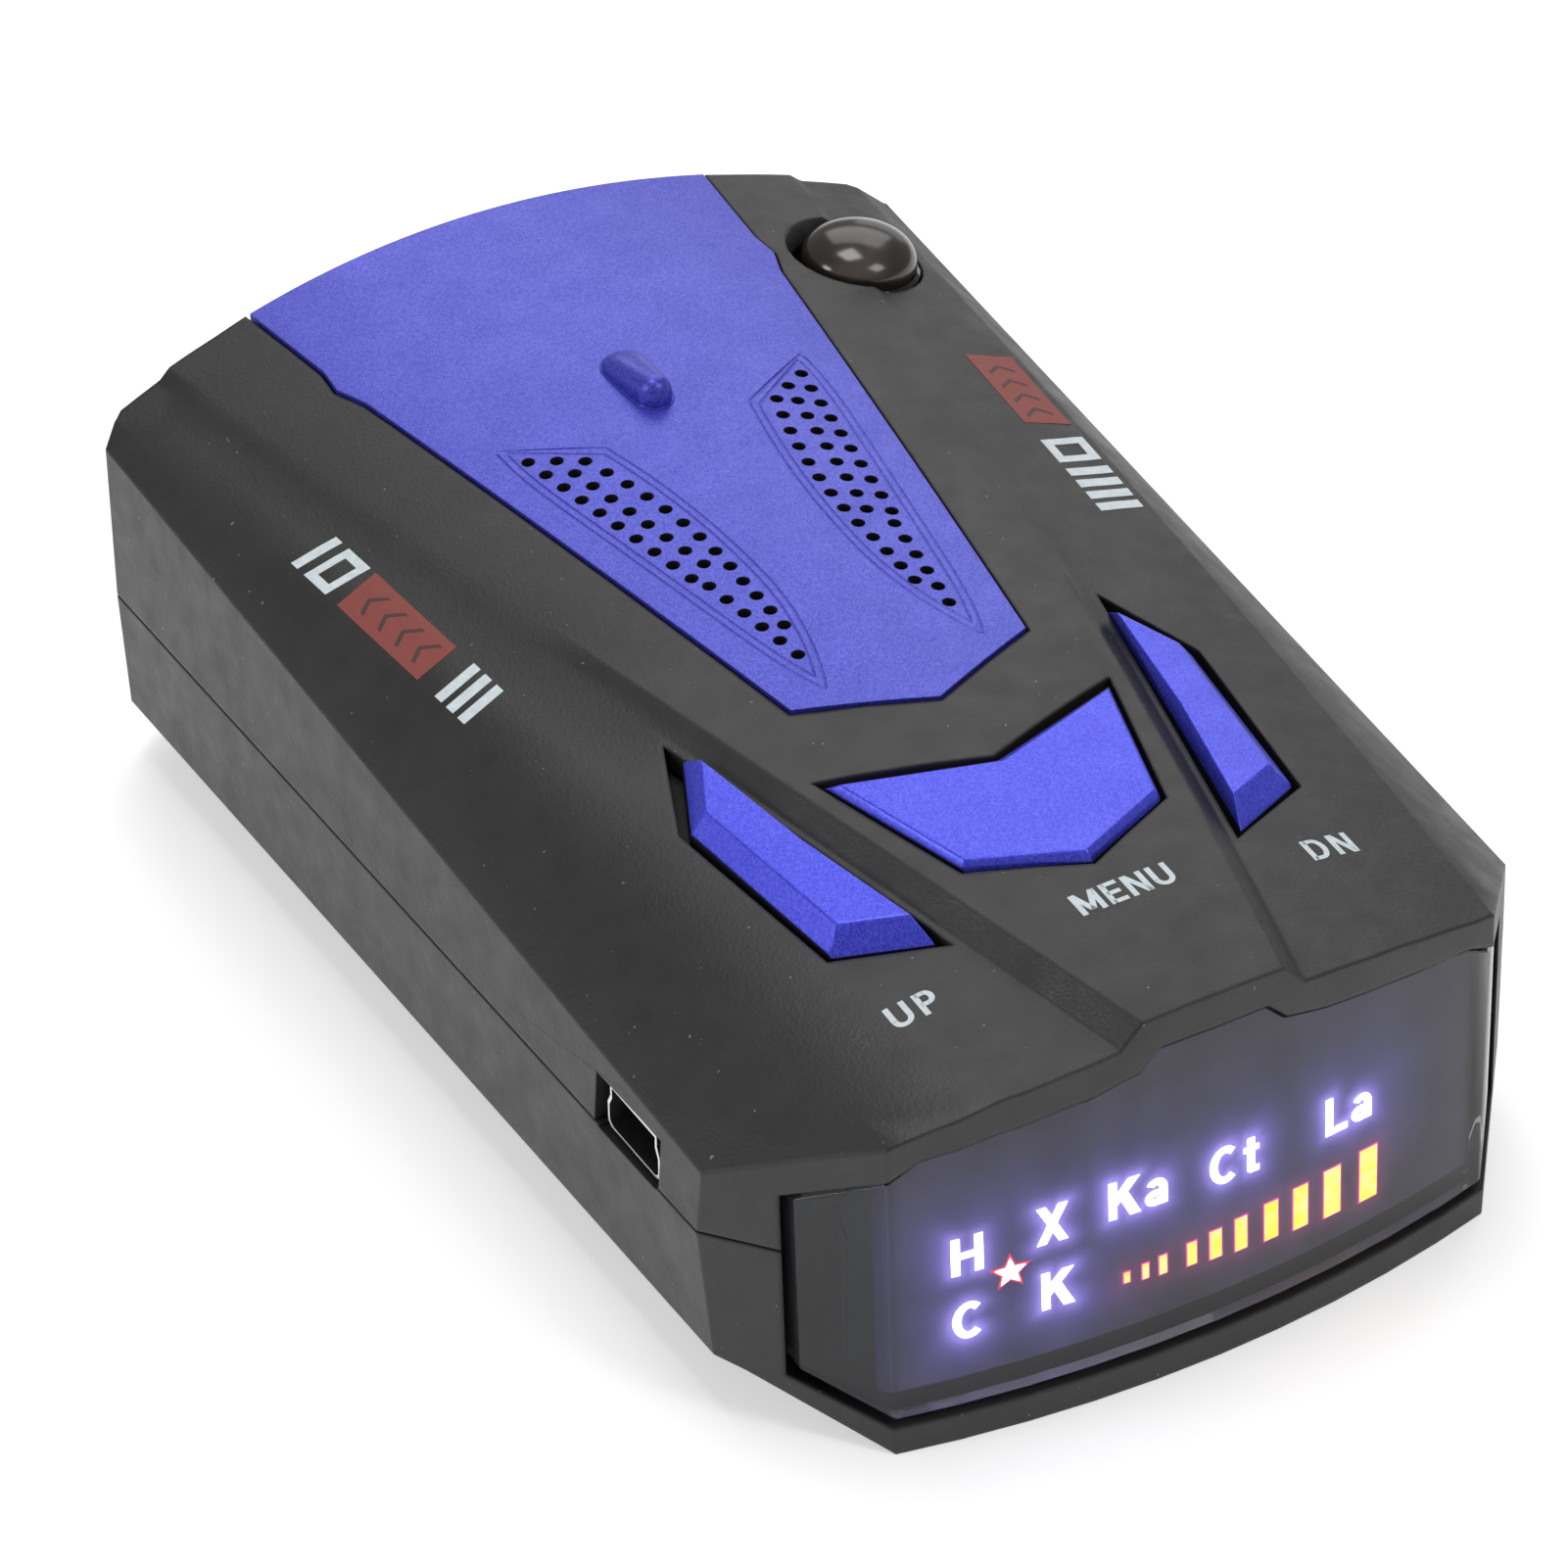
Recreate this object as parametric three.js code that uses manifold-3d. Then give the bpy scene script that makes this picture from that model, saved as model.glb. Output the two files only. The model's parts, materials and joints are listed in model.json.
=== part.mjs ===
// Dashboard radar detector, in millimetres, +Z up.
// The display looks along -Y, the microwave horn looks along +Y, and the flat base lies on z = 0.

import * as THREE from 'three';
import { mergeVertices } from 'three/addons/utils/BufferGeometryUtils.js';
import Module from 'manifold-3d';

const wasm = await Module();
wasm.setup();

// ---------- Driving dimensions ----------

// Pieces are drawn with y = 0 at the middle of the side walls.
// The front reaches further out than the rear, so this shift centres the length on the origin.
const ORIGIN_SHIFT_Y = 4.139;

// Gap between pieces that rest on each other
const REST_GAP = 0.05;

// Case
const WALL = 1.8;
const SEAM_Z = 15.6;
const SEAM_GAP = 0.2;
const SIDE_FRONT_Y = -44.4;
const SIDE_REAR_Y = 44.4;
const HALF_WIDTH_FRONT = 33.5;
const HALF_WIDTH_REAR = 35.2;
const WALL_DRAFT = 0.35;
const TOP_CROWN = 0.0047;
const BEVEL_HEIGHT = 5.1;
const BASE_HALF_WIDTH = 24.5;
const LOFT_FRONT_Y = -64;
const LOFT_REAR_Y = 56;

// Plan of the case. The front's slope and radius change with height, and HEIGHT_UNIT is the step that
// the rates below are given for.
const HEIGHT_UNIT = 30;
const FRONT = { y: -58.4, rise: 2.5, radius: 106, radiusRise: 53, half: 24.6, cornerY: -55.0 };
const REAR = { y: 49.2, rise: 0.8, radius: 152, half: 32.4, cornerSlope: 0.9 };
const PLAN_REACH = 42;
const PLAN_STEPS = 10;

// Display
const WINDOW_HALF = 29.6;
const WINDOW_BOTTOM = 2.2;
const WINDOW_END_RISE = 2.6;
const WINDOW_BACK_Y = -45.4;
const LENS_INSET = 0.25;
const LENS_THICKNESS = 1.6;
const LENS_GAP = { top: 0.3, side: 0.8, bottom: 0.6 };
const FILM = { half: 24.2, bottom: 3.9, top: 24.2, gap: 0.3, thickness: 0.4 };
const MASK = { half: 22.6, bottom: 4.8, top: 22.6, gap: 0.3, thickness: 1.9, cellHalf: 2.1 };
const BARS = { count: 10, firstX: -5.4, pitch: 2.3, half: 0.8, bottom: 6.6, top: 8.2, rise: 0.3 };
const DISPLAY_BOARD = { half: 24, front: -48.7, back: -47.3, bottom: 3.4, top: 23.4 };
const LED = { half: 0.9, halfHeight: 0.6, depth: 0.7 };
// Centres, in X and Z, of the light cells behind the display's signs
const ICON_CELLS = [
  [-17.4, 14.4],
  [-17.3, 8.4],
  [-10.9, 14.4],
  [-10.9, 8.4],
  [-4.2, 14.4],
  [4.2, 14.4],
  [13.2, 14.0],
];

// Buttons: the cap's foot stands in the opening, and its flat top is smaller
const BUTTON_TRAVEL = 0.3;
const FLANGE_TOP_DROP = 2.15;
const FLANGE_THICKNESS = 0.9;
const FLANGE_REACH = 0.8;
const STEM_RADIUS = 1.4;
const MENU_CAP_LIFT = 0.5;
const SIDE_CAP_LIFT = 1.2;
const SIDE_CAP_FOOT = [
  [17.8, -14.9],
  [20.9, -21.5],
  [19.0, -37.2],
  [12.5, -40.3],
  [15.3, -27.2],
];
const SIDE_CAP_TOP = [
  [17.4, -16.8],
  [19.7, -21.4],
  [17.8, -36.1],
  [13.2, -38.3],
  [15.7, -27.6],
];

// Boards, switches and parts on the boards
const MAIN_BOARD_Z = 14.0;
const BOARD_THICKNESS = 1.6;
const MAIN_BOARD_TOP = MAIN_BOARD_Z + BOARD_THICKNESS;
const KEY_BOARD_Z = 20.4;
const KEY_BOARD_THICKNESS = 1.2;
const KEY_BOARD_TOP = KEY_BOARD_Z + KEY_BOARD_THICKNESS;
const SWITCH = { half: 3, height: 3.2, pocketRadius: 1.8, pocketFloor: 1.2 };
const PLUNGER = { radius: 1.65, topZ: 26.0 };
const MENU_SWITCH = [0, -34];
const SIDE_SWITCH = [17.6, -27];
const CAPACITOR = { radius: 3.2, height: 8 };
const CAPACITOR_PLACES = [[-24, -2], [23.5, -3]];

// Fixings: [x, y] of each screw. A boss in the upper shell takes its thread.
const SCREW_PLACES = {
  screw_front_left: [-25.6, -25.5],
  screw_front_right: [25.6, -25.5],
  screw_rear_left: [-24.0, 42.0],
  screw_rear_right: [24.0, 42.0],
};
const KEY_SCREWS = [[-7.6, -18.4], [7.6, -18.4], [0, -45.0]];
const THREAD_CLEARANCE = 0.08;
const HOUSING_SCREW = {
  radius: 1.1,
  headRadius: 2.0,
  headHeight: 1.45,
  headZ: 4.0,
  recess: 0.7,
  tipZ: 21.0,
  bossRadius: 2.6,
  postRadius: 3.4,
};
const KEY_SCREW = {
  radius: 0.8,
  headRadius: 1.6,
  headHeight: 1.1,
  headZ: KEY_BOARD_Z - 1.15,
  recess: 0.5,
  tipZ: 26.0,
  bossRadius: 1.9,
};

// Cover over the middle of the top, with a raised mark and two grilles of round holes
const COVER_LIFT = 0.2;
const COVER_THICKNESS = 1.2;
const COVER_SEAT_DROP = 1.05;
const COVER_GAP = 0.25;
const COVER_LEDGE = 1.8;
const BUMP = { y: 22.6, length: 8.2, radius: 2.0, height: 2.3 };
const GRILLE_HOLE_RADIUS = 0.52;

// Laser dome on the right-hand rear of the top
const DOME = { x: 26.4, y: 34.6, z: 31.5, radius: 4.6, height: 2.6, tilt: 0.1 };

// USB socket in the left wall, and the speaker under the cover
const USB = { front: -33.25, back: -24.2, y: -34.9, bottom: 15.7, top: 19.6, half: 3.65, wall: 0.25 };
// Openings for it in the two shells: how far in they reach, and the room that they leave on each side
const USB_UPPER_OPENING = { inner: -28, front: 4.05, rear: 4.6, above: 0.25 };
const USB_LOWER_OPENING = { inner: -31, front: 3.7, rear: 4.1, below: 0.35 };
const USB_PIN_COUNT = 5;
const USB_PIN_PITCH = 0.8;
const SPEAKER_Y = 3;
const SPEAKER_OPENING_RADIUS = 14.5;

// Window in the rear wall
const REAR_WINDOW = { half: 12.4, bottom: 18.6, top: 26.4, gap: 0.3, inset: 0.3, thickness: 1.4 };

// Label in a shallow pocket of the base
const LABEL = { half: 16.2, front: -20.2, rear: 14.2, depth: 0.35, gap: 0.3 };

const detector = new THREE.Group();
detector.position.y = ORIGIN_SHIFT_Y;

// ---------- Solids ----------

function solidOf(geometry) {
  const bare = geometry.index ? geometry.toNonIndexed() : geometry.clone();
  for (const name of Object.keys(bare.attributes)) {
    if (name !== 'position') bare.deleteAttribute(name);
  }
  const merged = mergeVertices(bare, 1e-4);
  const vertProperties = new Float32Array(merged.attributes.position.array);
  const triVerts = new Uint32Array(merged.index.array);
  return new wasm.Manifold(new wasm.Mesh({ numProp: 3, vertProperties, triVerts }));
}

function geometryOf(solid) {
  const mesh = solid.getMesh();
  const geometry = new THREE.BufferGeometry();
  geometry.setAttribute('position', new THREE.BufferAttribute(mesh.vertProperties, 3));
  geometry.setIndex(new THREE.BufferAttribute(mesh.triVerts, 1));
  const flat = geometry.toNonIndexed();
  flat.computeVertexNormals();
  return flat;
}

// Skins a row of equal rings of points and closes both ends.
// flatten maps a point to the plane of the end caps, and flatten.axis is that plane's normal.
function loft(rings, flatten) {
  const count = rings[0].length;
  const points = rings.flat();
  const last = points.length - count;
  const forward = flatten.axis.dot(new THREE.Vector3().subVectors(points[last], points[0])) > 0;
  const clockwise = THREE.ShapeUtils.isClockWise(rings[0].map(flatten));
  const faces = [];
  const addFace = (a, b, c, flipped) => faces.push(...(flipped ? [a, c, b] : [a, b, c]));
  for (let low = 0; low < last; low += count) {
    for (let i = 0; i < count; i += 1) {
      const next = (i + 1) % count;
      addFace(low + i, low + next, low + count + next, forward === clockwise);
      addFace(low + i, low + count + next, low + count + i, forward === clockwise);
    }
  }
  for (const [offset, flipped] of [[0, forward], [last, !forward]]) {
    const outline = points.slice(offset, offset + count).map(flatten);
    const order = outline.map((_, i) => (clockwise ? count - 1 - i : i));
    for (const face of THREE.ShapeUtils.triangulateShape(order.map((i) => outline[i]), [])) {
      addFace(...face.map((i) => order[i] + offset), flipped);
    }
  }
  const geometry = new THREE.BufferGeometry();
  const positions = points.flatMap((p) => [p.x, p.y, p.z]);
  geometry.setAttribute('position', new THREE.Float32BufferAttribute(positions, 3));
  geometry.setIndex(faces);
  return solidOf(geometry);
}

const ontoXY = (p) => new THREE.Vector2(p.x, p.y);
ontoXY.axis = new THREE.Vector3(0, 0, 1);
const ontoXZ = (p) => new THREE.Vector2(p.x, p.z);
ontoXZ.axis = new THREE.Vector3(0, -1, 0);

function box(x0, x1, y0, y1, z0, z1) {
  const geometry = new THREE.BoxGeometry(x1 - x0, y1 - y0, z1 - z0);
  geometry.translate((x0 + x1) / 2, (y0 + y1) / 2, (z0 + z1) / 2);
  return solidOf(geometry);
}

function post(x, y, z0, z1, radius, sides = 20) {
  const geometry = new THREE.CylinderGeometry(radius, radius, z1 - z0, sides);
  geometry.rotateX(Math.PI / 2);
  geometry.translate(x, y, (z0 + z1) / 2);
  return solidOf(geometry);
}

function prism(outline, z0, z1) {
  const shape = new THREE.Shape(outline.map(([x, y]) => new THREE.Vector2(x, y)));
  const geometry = new THREE.ExtrudeGeometry(shape, { depth: z1 - z0, bevelEnabled: false });
  geometry.translate(0, 0, z0);
  return solidOf(geometry);
}

// A prism whose outline is drawn in X and Z and which runs along Y.
function prismAlongY(outline, y0, y1) {
  const shape = new THREE.Shape(outline.map(([x, z]) => new THREE.Vector2(x, z)));
  const geometry = new THREE.ExtrudeGeometry(shape, { depth: y1 - y0, bevelEnabled: false });
  geometry.rotateX(Math.PI / 2);
  geometry.translate(0, y1, 0);
  return solidOf(geometry);
}

// Turns a profile of [radius, z] points about the Z axis.
// The profile starts and ends on the axis, or closes on itself.
function turned(profile, sides = 28) {
  const points = profile.map(([radius, z]) => new THREE.Vector2(radius, z));
  if (THREE.ShapeUtils.isClockWise(points)) points.reverse();
  const geometry = new THREE.LatheGeometry(points, sides);
  geometry.rotateX(Math.PI / 2);
  return geometry;
}

// Completes an outline whose right-hand points are given by mirroring them about x = 0.
function bothSides(right) {
  const left = right.filter(([x]) => x > 0).map(([x, z]) => [-x, z]);
  return [...right, ...left.reverse()];
}

function addNode(name, solid, colour, roughness, metalness = 0, extra = {}) {
  const material = new THREE.MeshStandardMaterial({ color: colour, roughness, metalness, ...extra });
  const mesh = new THREE.Mesh(geometryOf(solid), material);
  mesh.name = name;
  detector.add(mesh);
}

// ---------- Case surfaces ----------

const sideTopZ = (x, y) => 33.15 + 0.056 * y - 0.000315 * y * y - TOP_CROWN * x * x;
const centreTopZ = (x, y) => 34.1 + 0.045 * y - 0.00029 * y * y - TOP_CROWN * x * x;

function wallHalf(y) {
  const along = (y - SIDE_FRONT_Y) / (SIDE_REAR_Y - SIDE_FRONT_Y);
  return HALF_WIDTH_FRONT + (HALF_WIDTH_REAR - HALF_WIDTH_FRONT) * along;
}

const shoulderZ = (y) => 24.7 + 0.09 * y;
const chamferInnerHalf = (y) => 29.6 + 0.085 * y - 0.0002 * y * y;

// Half-width of the raised strip along the middle of the top, at its upper edge.
function stripHalf(y) {
  const along = (y + 55.8) / 103.4;
  return 5.65 + 22.05 * along + 5.2 * along * (1 - along);
}

const stripFootHalf = (y) => stripHalf(y) + 1.75 - 0.0073 * (y + 55.8);

function mirrored(right) {
  const left = right.filter((p) => p.x > 0).map((p) => new THREE.Vector3(-p.x, p.y, p.z));
  return [...right, ...left.reverse()];
}

// Cross-section of the upper shell at one y, drawn in from the outside by inset.
function upperSection(y, inset, floorZ) {
  const v = (x, z) => new THREE.Vector3(x, y, z);
  const strip = stripHalf(y) - inset * 0.4;
  const foot = stripFootHalf(y) - inset * 0.4;
  const inner = chamferInnerHalf(y) - inset * 0.6;
  const middle = (foot + inner) / 2;
  const right = [
    v(wallHalf(y) - inset, floorZ),
    v(wallHalf(y) - WALL_DRAFT - inset, shoulderZ(y) - inset * 0.5),
    v(inner, sideTopZ(chamferInnerHalf(y), y) - inset),
    v(middle, sideTopZ(middle, y) - inset),
    v(foot, sideTopZ(foot, y) - inset),
    v(strip, centreTopZ(strip, y) - inset),
    v(strip * 0.7, centreTopZ(strip * 0.7, y) - inset),
    v(strip * 0.36, centreTopZ(strip * 0.36, y) - inset),
    v(0, centreTopZ(0, y) - inset),
  ];
  return mirrored(right);
}

function lowerSection(y, inset, ceilingZ) {
  const v = (x, z) => new THREE.Vector3(x, y, z);
  const right = [
    v(BASE_HALF_WIDTH - inset * 0.3, inset),
    v(wallHalf(y) - 0.5 - inset, BEVEL_HEIGHT + inset * 0.45),
    v(wallHalf(y) - inset, ceilingZ),
  ];
  return mirrored(right);
}

function alongCase(section, count) {
  const rings = [];
  for (let i = 0; i <= count; i += 1) {
    rings.push(section(LOFT_FRONT_Y + ((LOFT_REAR_Y - LOFT_FRONT_Y) * i) / count));
  }
  return loft(rings, ontoXZ);
}

function frontY(x, z, inset) {
  const height = z / HEIGHT_UNIT;
  const radius = FRONT.radius + FRONT.radiusRise * height;
  return FRONT.y + FRONT.rise * height + (x * x) / (2 * radius) + inset;
}

// Plan outline of the case at one height: curved front, cut front corners, curved rear.
function planRing(z, inset) {
  const v = (x, y) => new THREE.Vector3(x, y, z);
  const ring = [];
  const junction = FRONT.half - 0.47 * inset;
  for (let i = 0; i <= PLAN_STEPS; i += 1) {
    const x = -junction + (2 * junction * i) / PLAN_STEPS;
    ring.push(v(x, frontY(x, z, inset)));
  }
  const cornerSlope = (SIDE_FRONT_Y - FRONT.cornerY) / (HALF_WIDTH_FRONT - FRONT.half);
  const cornerY = frontY(junction, z, inset) + cornerSlope * (PLAN_REACH - junction);
  const rearHalf = REAR.half - 0.4 * inset;
  const rearY = (x) => REAR.y + (REAR.rise * z) / HEIGHT_UNIT - inset - (x * x) / (2 * REAR.radius);
  const rearReachY = rearY(rearHalf) - REAR.cornerSlope * (PLAN_REACH - rearHalf);
  ring.push(v(PLAN_REACH, cornerY));
  ring.push(v(PLAN_REACH, rearReachY));
  for (let i = 0; i <= PLAN_STEPS; i += 1) {
    const x = rearHalf - (2 * rearHalf * i) / PLAN_STEPS;
    ring.push(v(x, rearY(x)));
  }
  ring.push(v(-PLAN_REACH, rearReachY));
  ring.push(v(-PLAN_REACH, cornerY));
  return ring;
}

const planBlock = (inset, z0 = -2, z1 = 42) => loft([planRing(z0, inset), planRing(z1, inset)], ontoXY);

function upperBlock(inset, floorZ, steps) {
  return alongCase((y) => upperSection(y, inset, floorZ), steps).intersect(planBlock(inset));
}

function lowerBlock(inset, ceilingZ) {
  return alongCase((y) => lowerSection(y, inset, ceilingZ), 1).intersect(planBlock(inset));
}

// ---------- Openings and outlines ----------

// The display opening in the case front. gap draws it in at the top, the sides and the bottom.
function windowPrism(gap, y0, y1) {
  const half = WINDOW_HALF - gap.side;
  const face = FRONT.half - gap.side * 0.5;
  const floor = WINDOW_BOTTOM + gap.bottom;
  const right = [
    [face, floor],
    [half, floor + WINDOW_END_RISE],
    [half, 20.4 - gap.top],
    [face, 23.6 - gap.top],
    [22.3, 24.6 - gap.top],
    [9.4, 25.8 - gap.top],
    [5.9 - gap.top * 0.3, 26.5 - gap.top],
    [4.3 - gap.top * 0.3, 28.0 - gap.top],
  ];
  return prismAlongY(bothSides(right), y0, y1);
}

const NO_GAP = { top: 0, side: 0, bottom: 0 };

// Places clear of the case that cuts start from or run to
const FRONT_OF_CASE = -70;
const ABOVE_CASE = 60;
const BELOW_BASE = -2;
const INSIDE_TOP = 20;
const BELOW_SEAM = 10;
const REAR_WALL_Y = [44, 56];

// Each outline takes grow, the distance by which it is drawn out on every side.
function menuOutline(grow) {
  return bothSides([
    [0, -27.8 + grow],
    [12.4 + grow, -23.5 + grow],
    [8.4 + grow, -37.1 - grow * 0.9],
    [0, -40.9 - grow],
  ]);
}

// The side buttons' outline. side is -1 for UP and 1 for DOWN.
function sideOutline(side, grow) {
  const corners = [
    [18.2 + grow * 0.2, -12.8 + grow * 1.3],
    [21.7 + grow, -21.2 + grow * 0.3],
    [19.45 + grow * 0.8, -37.7 - grow * 0.7],
    [11.6 - grow, -41.3 - grow],
    [14.9 - grow, -27.0],
  ];
  return corners.map(([x, y]) => [side * x, y]);
}

function coverOutline(grow) {
  return bothSides([
    [0, -20.6 - grow],
    [9.8 + grow, -16.4 - grow * 0.7],
    [18.2 + grow, 32.8],
    [19.2 + grow, 35.6],
    [19.0 + grow, 38.2],
    [20.6 + grow, 52.0],
  ]);
}

// Centres of the round holes in one leaf-shaped grille: three columns at the rear, then two, then one.
function grilleHoles(side) {
  const holes = [];
  const addColumn = (count, firstY, pitch, xAt) => {
    for (let i = 0; i < count; i += 1) {
      const y = firstY - pitch * i;
      holes.push([side * xAt(y), y]);
    }
  };
  addColumn(10, 18.77, 2.08, (y) => 8.48 + 0.177 * y);
  addColumn(9, 17.65, 2.08, (y) => 6.72 + 0.185 * y);
  addColumn(9, 16.4, 2.08, (y) => 5.42 + 0.0105 * y * y);
  addColumn(6, -1.4, 2.02, (y) => 8.06 + 0.15 * y);
  addColumn(4, -2.24, 1.96, () => 5.5);
  return holes;
}

// ---------- Case ----------

function upperShell() {
  let shell = upperBlock(0, SEAM_Z + SEAM_GAP / 2, 9).subtract(upperBlock(WALL, 0, 5));
  const bossSpace = upperBlock(WALL * 0.5, SEAM_Z, 5);
  const housingBossZ = MAIN_BOARD_TOP + REST_GAP;
  const keyBossZ = KEY_BOARD_TOP + REST_GAP;
  for (const [x, y] of Object.values(SCREW_PLACES)) {
    shell = shell.add(post(x, y, housingBossZ, ABOVE_CASE, HOUSING_SCREW.bossRadius).intersect(bossSpace));
  }
  for (const [x, y] of KEY_SCREWS) {
    shell = shell.add(post(x, y, keyBossZ, ABOVE_CASE, KEY_SCREW.bossRadius).intersect(bossSpace));
  }
  const cutDown = (outline) => prism(outline, INSIDE_TOP, ABOVE_CASE);
  const speakerOpening = post(0, SPEAKER_Y, INSIDE_TOP, ABOVE_CASE, SPEAKER_OPENING_RADIUS, 36);
  const socket = USB_UPPER_OPENING;
  const socketTop = USB.top + socket.above;
  const cuts = [
    windowPrism(NO_GAP, FRONT_OF_CASE, WINDOW_BACK_Y),
    cutDown(menuOutline(0)),
    cutDown(sideOutline(-1, 0)),
    cutDown(sideOutline(1, 0)),
    coverSeat(),
    speakerOpening.intersect(cutDown(coverOutline(-COVER_LEDGE))),
    placedDome(DOME_RECESS),
    box(-PLAN_REACH, socket.inner, USB.y - socket.front, USB.y + socket.rear, BELOW_SEAM, socketTop),
    box(-REAR_WINDOW.half, REAR_WINDOW.half, ...REAR_WALL_Y, REAR_WINDOW.bottom, REAR_WINDOW.top),
  ];
  for (const [x, y] of Object.values(SCREW_PLACES)) {
    cuts.push(post(x, y, BELOW_SEAM, HOUSING_SCREW.tipZ + 0.4, HOUSING_SCREW.radius + THREAD_CLEARANCE, 16));
  }
  for (const [x, y] of KEY_SCREWS) {
    cuts.push(post(x, y, BELOW_SEAM, KEY_SCREW.tipZ + 0.2, KEY_SCREW.radius + THREAD_CLEARANCE, 14));
  }
  for (const cut of cuts) {
    shell = shell.subtract(cut);
  }
  addNode('upper_shell', shell, 0x2c2c2e, 0.55);
}

function lowerShell() {
  let shell = lowerBlock(0, SEAM_Z - SEAM_GAP / 2).subtract(lowerBlock(WALL, ABOVE_CASE));
  const inside = lowerBlock(WALL * 0.5, ABOVE_CASE);
  const postTop = MAIN_BOARD_Z - REST_GAP;
  for (const [x, y] of Object.values(SCREW_PLACES)) {
    shell = shell.add(post(x, y, 0.5, postTop, HOUSING_SCREW.postRadius).intersect(inside));
  }
  const headHoleTop = HOUSING_SCREW.headZ + HOUSING_SCREW.headHeight + REST_GAP;
  for (const [x, y] of Object.values(SCREW_PLACES)) {
    shell = shell.subtract(post(x, y, BELOW_BASE, ABOVE_CASE, HOUSING_SCREW.radius + 0.3, 16));
    shell = shell.subtract(post(x, y, BELOW_BASE, headHoleTop, HOUSING_SCREW.headRadius + 0.4));
  }
  shell = shell.subtract(windowPrism(NO_GAP, FRONT_OF_CASE, WINDOW_BACK_Y));
  const { inner, front, rear, below } = USB_LOWER_OPENING;
  shell = shell.subtract(box(-PLAN_REACH, inner, USB.y - front, USB.y + rear, USB.bottom - below, ABOVE_CASE));
  shell = shell.subtract(box(-LABEL.half, LABEL.half, LABEL.front, LABEL.rear, -1, LABEL.depth));
  addNode('lower_shell', shell, 0x2a2a2c, 0.6);
}

// The recess in the top that the cover lies in.
function coverSeat() {
  const above = alongCase((y) => coverSection(y, -COVER_SEAT_DROP, ABOVE_CASE), 7);
  return prism(coverOutline(COVER_GAP), INSIDE_TOP, ABOVE_CASE).intersect(above);
}

// A slab above the case's crowned middle, from lift to a flat ceiling.
function coverSection(y, lift, ceilingZ) {
  const v = (x, z) => new THREE.Vector3(x, y, z);
  const half = 24;
  const right = [];
  for (let i = 0; i <= 4; i += 1) {
    const x = half * (1 - i / 4);
    right.push(v(x, centreTopZ(x, y) + lift));
  }
  return [...mirrored(right), v(-half, ceilingZ), v(half, ceilingZ)];
}

function coverSlab(bottomLift, topLift) {
  const low = alongCase((y) => coverSection(y, bottomLift, ABOVE_CASE), 7);
  const high = alongCase((y) => coverSection(y, topLift, ABOVE_CASE + 1), 9);
  return low.subtract(high);
}

function topCover() {
  const outline = prism(coverOutline(0), INSIDE_TOP, ABOVE_CASE);
  const slab = coverSlab(COVER_LIFT - COVER_THICKNESS, COVER_LIFT);
  let cover = slab.intersect(outline).intersect(planBlock(0.35)).add(capsuleBump());
  for (const side of [-1, 1]) {
    for (const [x, y] of grilleHoles(side)) {
      cover = cover.subtract(post(x, y, INSIDE_TOP, ABOVE_CASE, GRILLE_HOLE_RADIUS, 8));
    }
  }
  addNode('top_cover', cover, 0x7072de, 0.35, 0.35);
}

// The raised half-capsule that marks the middle of the cover.
function capsuleBump() {
  const top = centreTopZ(0, BUMP.y);
  const geometry = new THREE.CapsuleGeometry(BUMP.radius, BUMP.length - 2 * BUMP.radius, 6, 16);
  geometry.scale(1, 1, BUMP.height / BUMP.radius);
  geometry.translate(0, BUMP.y, top + COVER_LIFT);
  return solidOf(geometry).intersect(box(-5, 5, 10, 40, top - 0.4, 50));
}

// ---------- Laser dome ----------

// Profile, as [radius, z] from the dome's base circle, of the hole that the dome sits in.
const DOME_RECESS = [[0, -9], [5.15, -9], [5.15, -1.1], [6.0, 1.2], [6.0, 4], [0, 4]];
const DOME_SEAT = [[3.0, -4.2], [5.0, -4.2], [5.0, -0.9], [4.7, -0.6], [4.7, -2.6], [3.0, -2.6], [3.0, -4.2]];
const DOME_EDGE_Z = 0.05;
const DOME_STEPS = 7;

function placedDome(profile, sides = 28) {
  const geometry = turned(profile, sides);
  geometry.rotateY(DOME.tilt);
  geometry.translate(DOME.x, DOME.y, DOME.z);
  return solidOf(geometry);
}

function laserDome() {
  addNode('dome_seat', placedDome(DOME_SEAT), 0x0c0c0e, 0.3);
  const profile = [[0, -2.3], [DOME.radius, -2.3]];
  for (let i = 0; i < DOME_STEPS; i += 1) {
    const angle = (Math.PI / 2) * (i / DOME_STEPS);
    profile.push([DOME.radius * Math.cos(angle), DOME_EDGE_Z + DOME.height * Math.sin(angle)]);
  }
  profile.push([0, DOME_EDGE_Z + DOME.height]);
  addNode('laser_dome', placedDome(profile), 0x2b211c, 0.06, 0, { transparent: true, opacity: 0.7 });
  addNode('light_guide', post(DOME.x - 0.3, DOME.y, 17.5, 26.9, 1.9, 18), 0xd8dde0, 0.1);
  const sensor = box(-2.2, 2.2, -2.2, 2.2, MAIN_BOARD_TOP + REST_GAP, 17.3);
  addNode('dome_sensor', sensor.translate([DOME.x - 0.3, DOME.y, 0]), 0x161618, 0.4);
}

// ---------- Display ----------

// A curved panel that follows the case front, between two depths behind it.
function frontPanel(depth, thickness, shrink, rearY) {
  const slab = planBlock(depth).subtract(planBlock(depth + thickness));
  return slab.intersect(windowPrism(shrink, -70, rearY));
}

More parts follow.
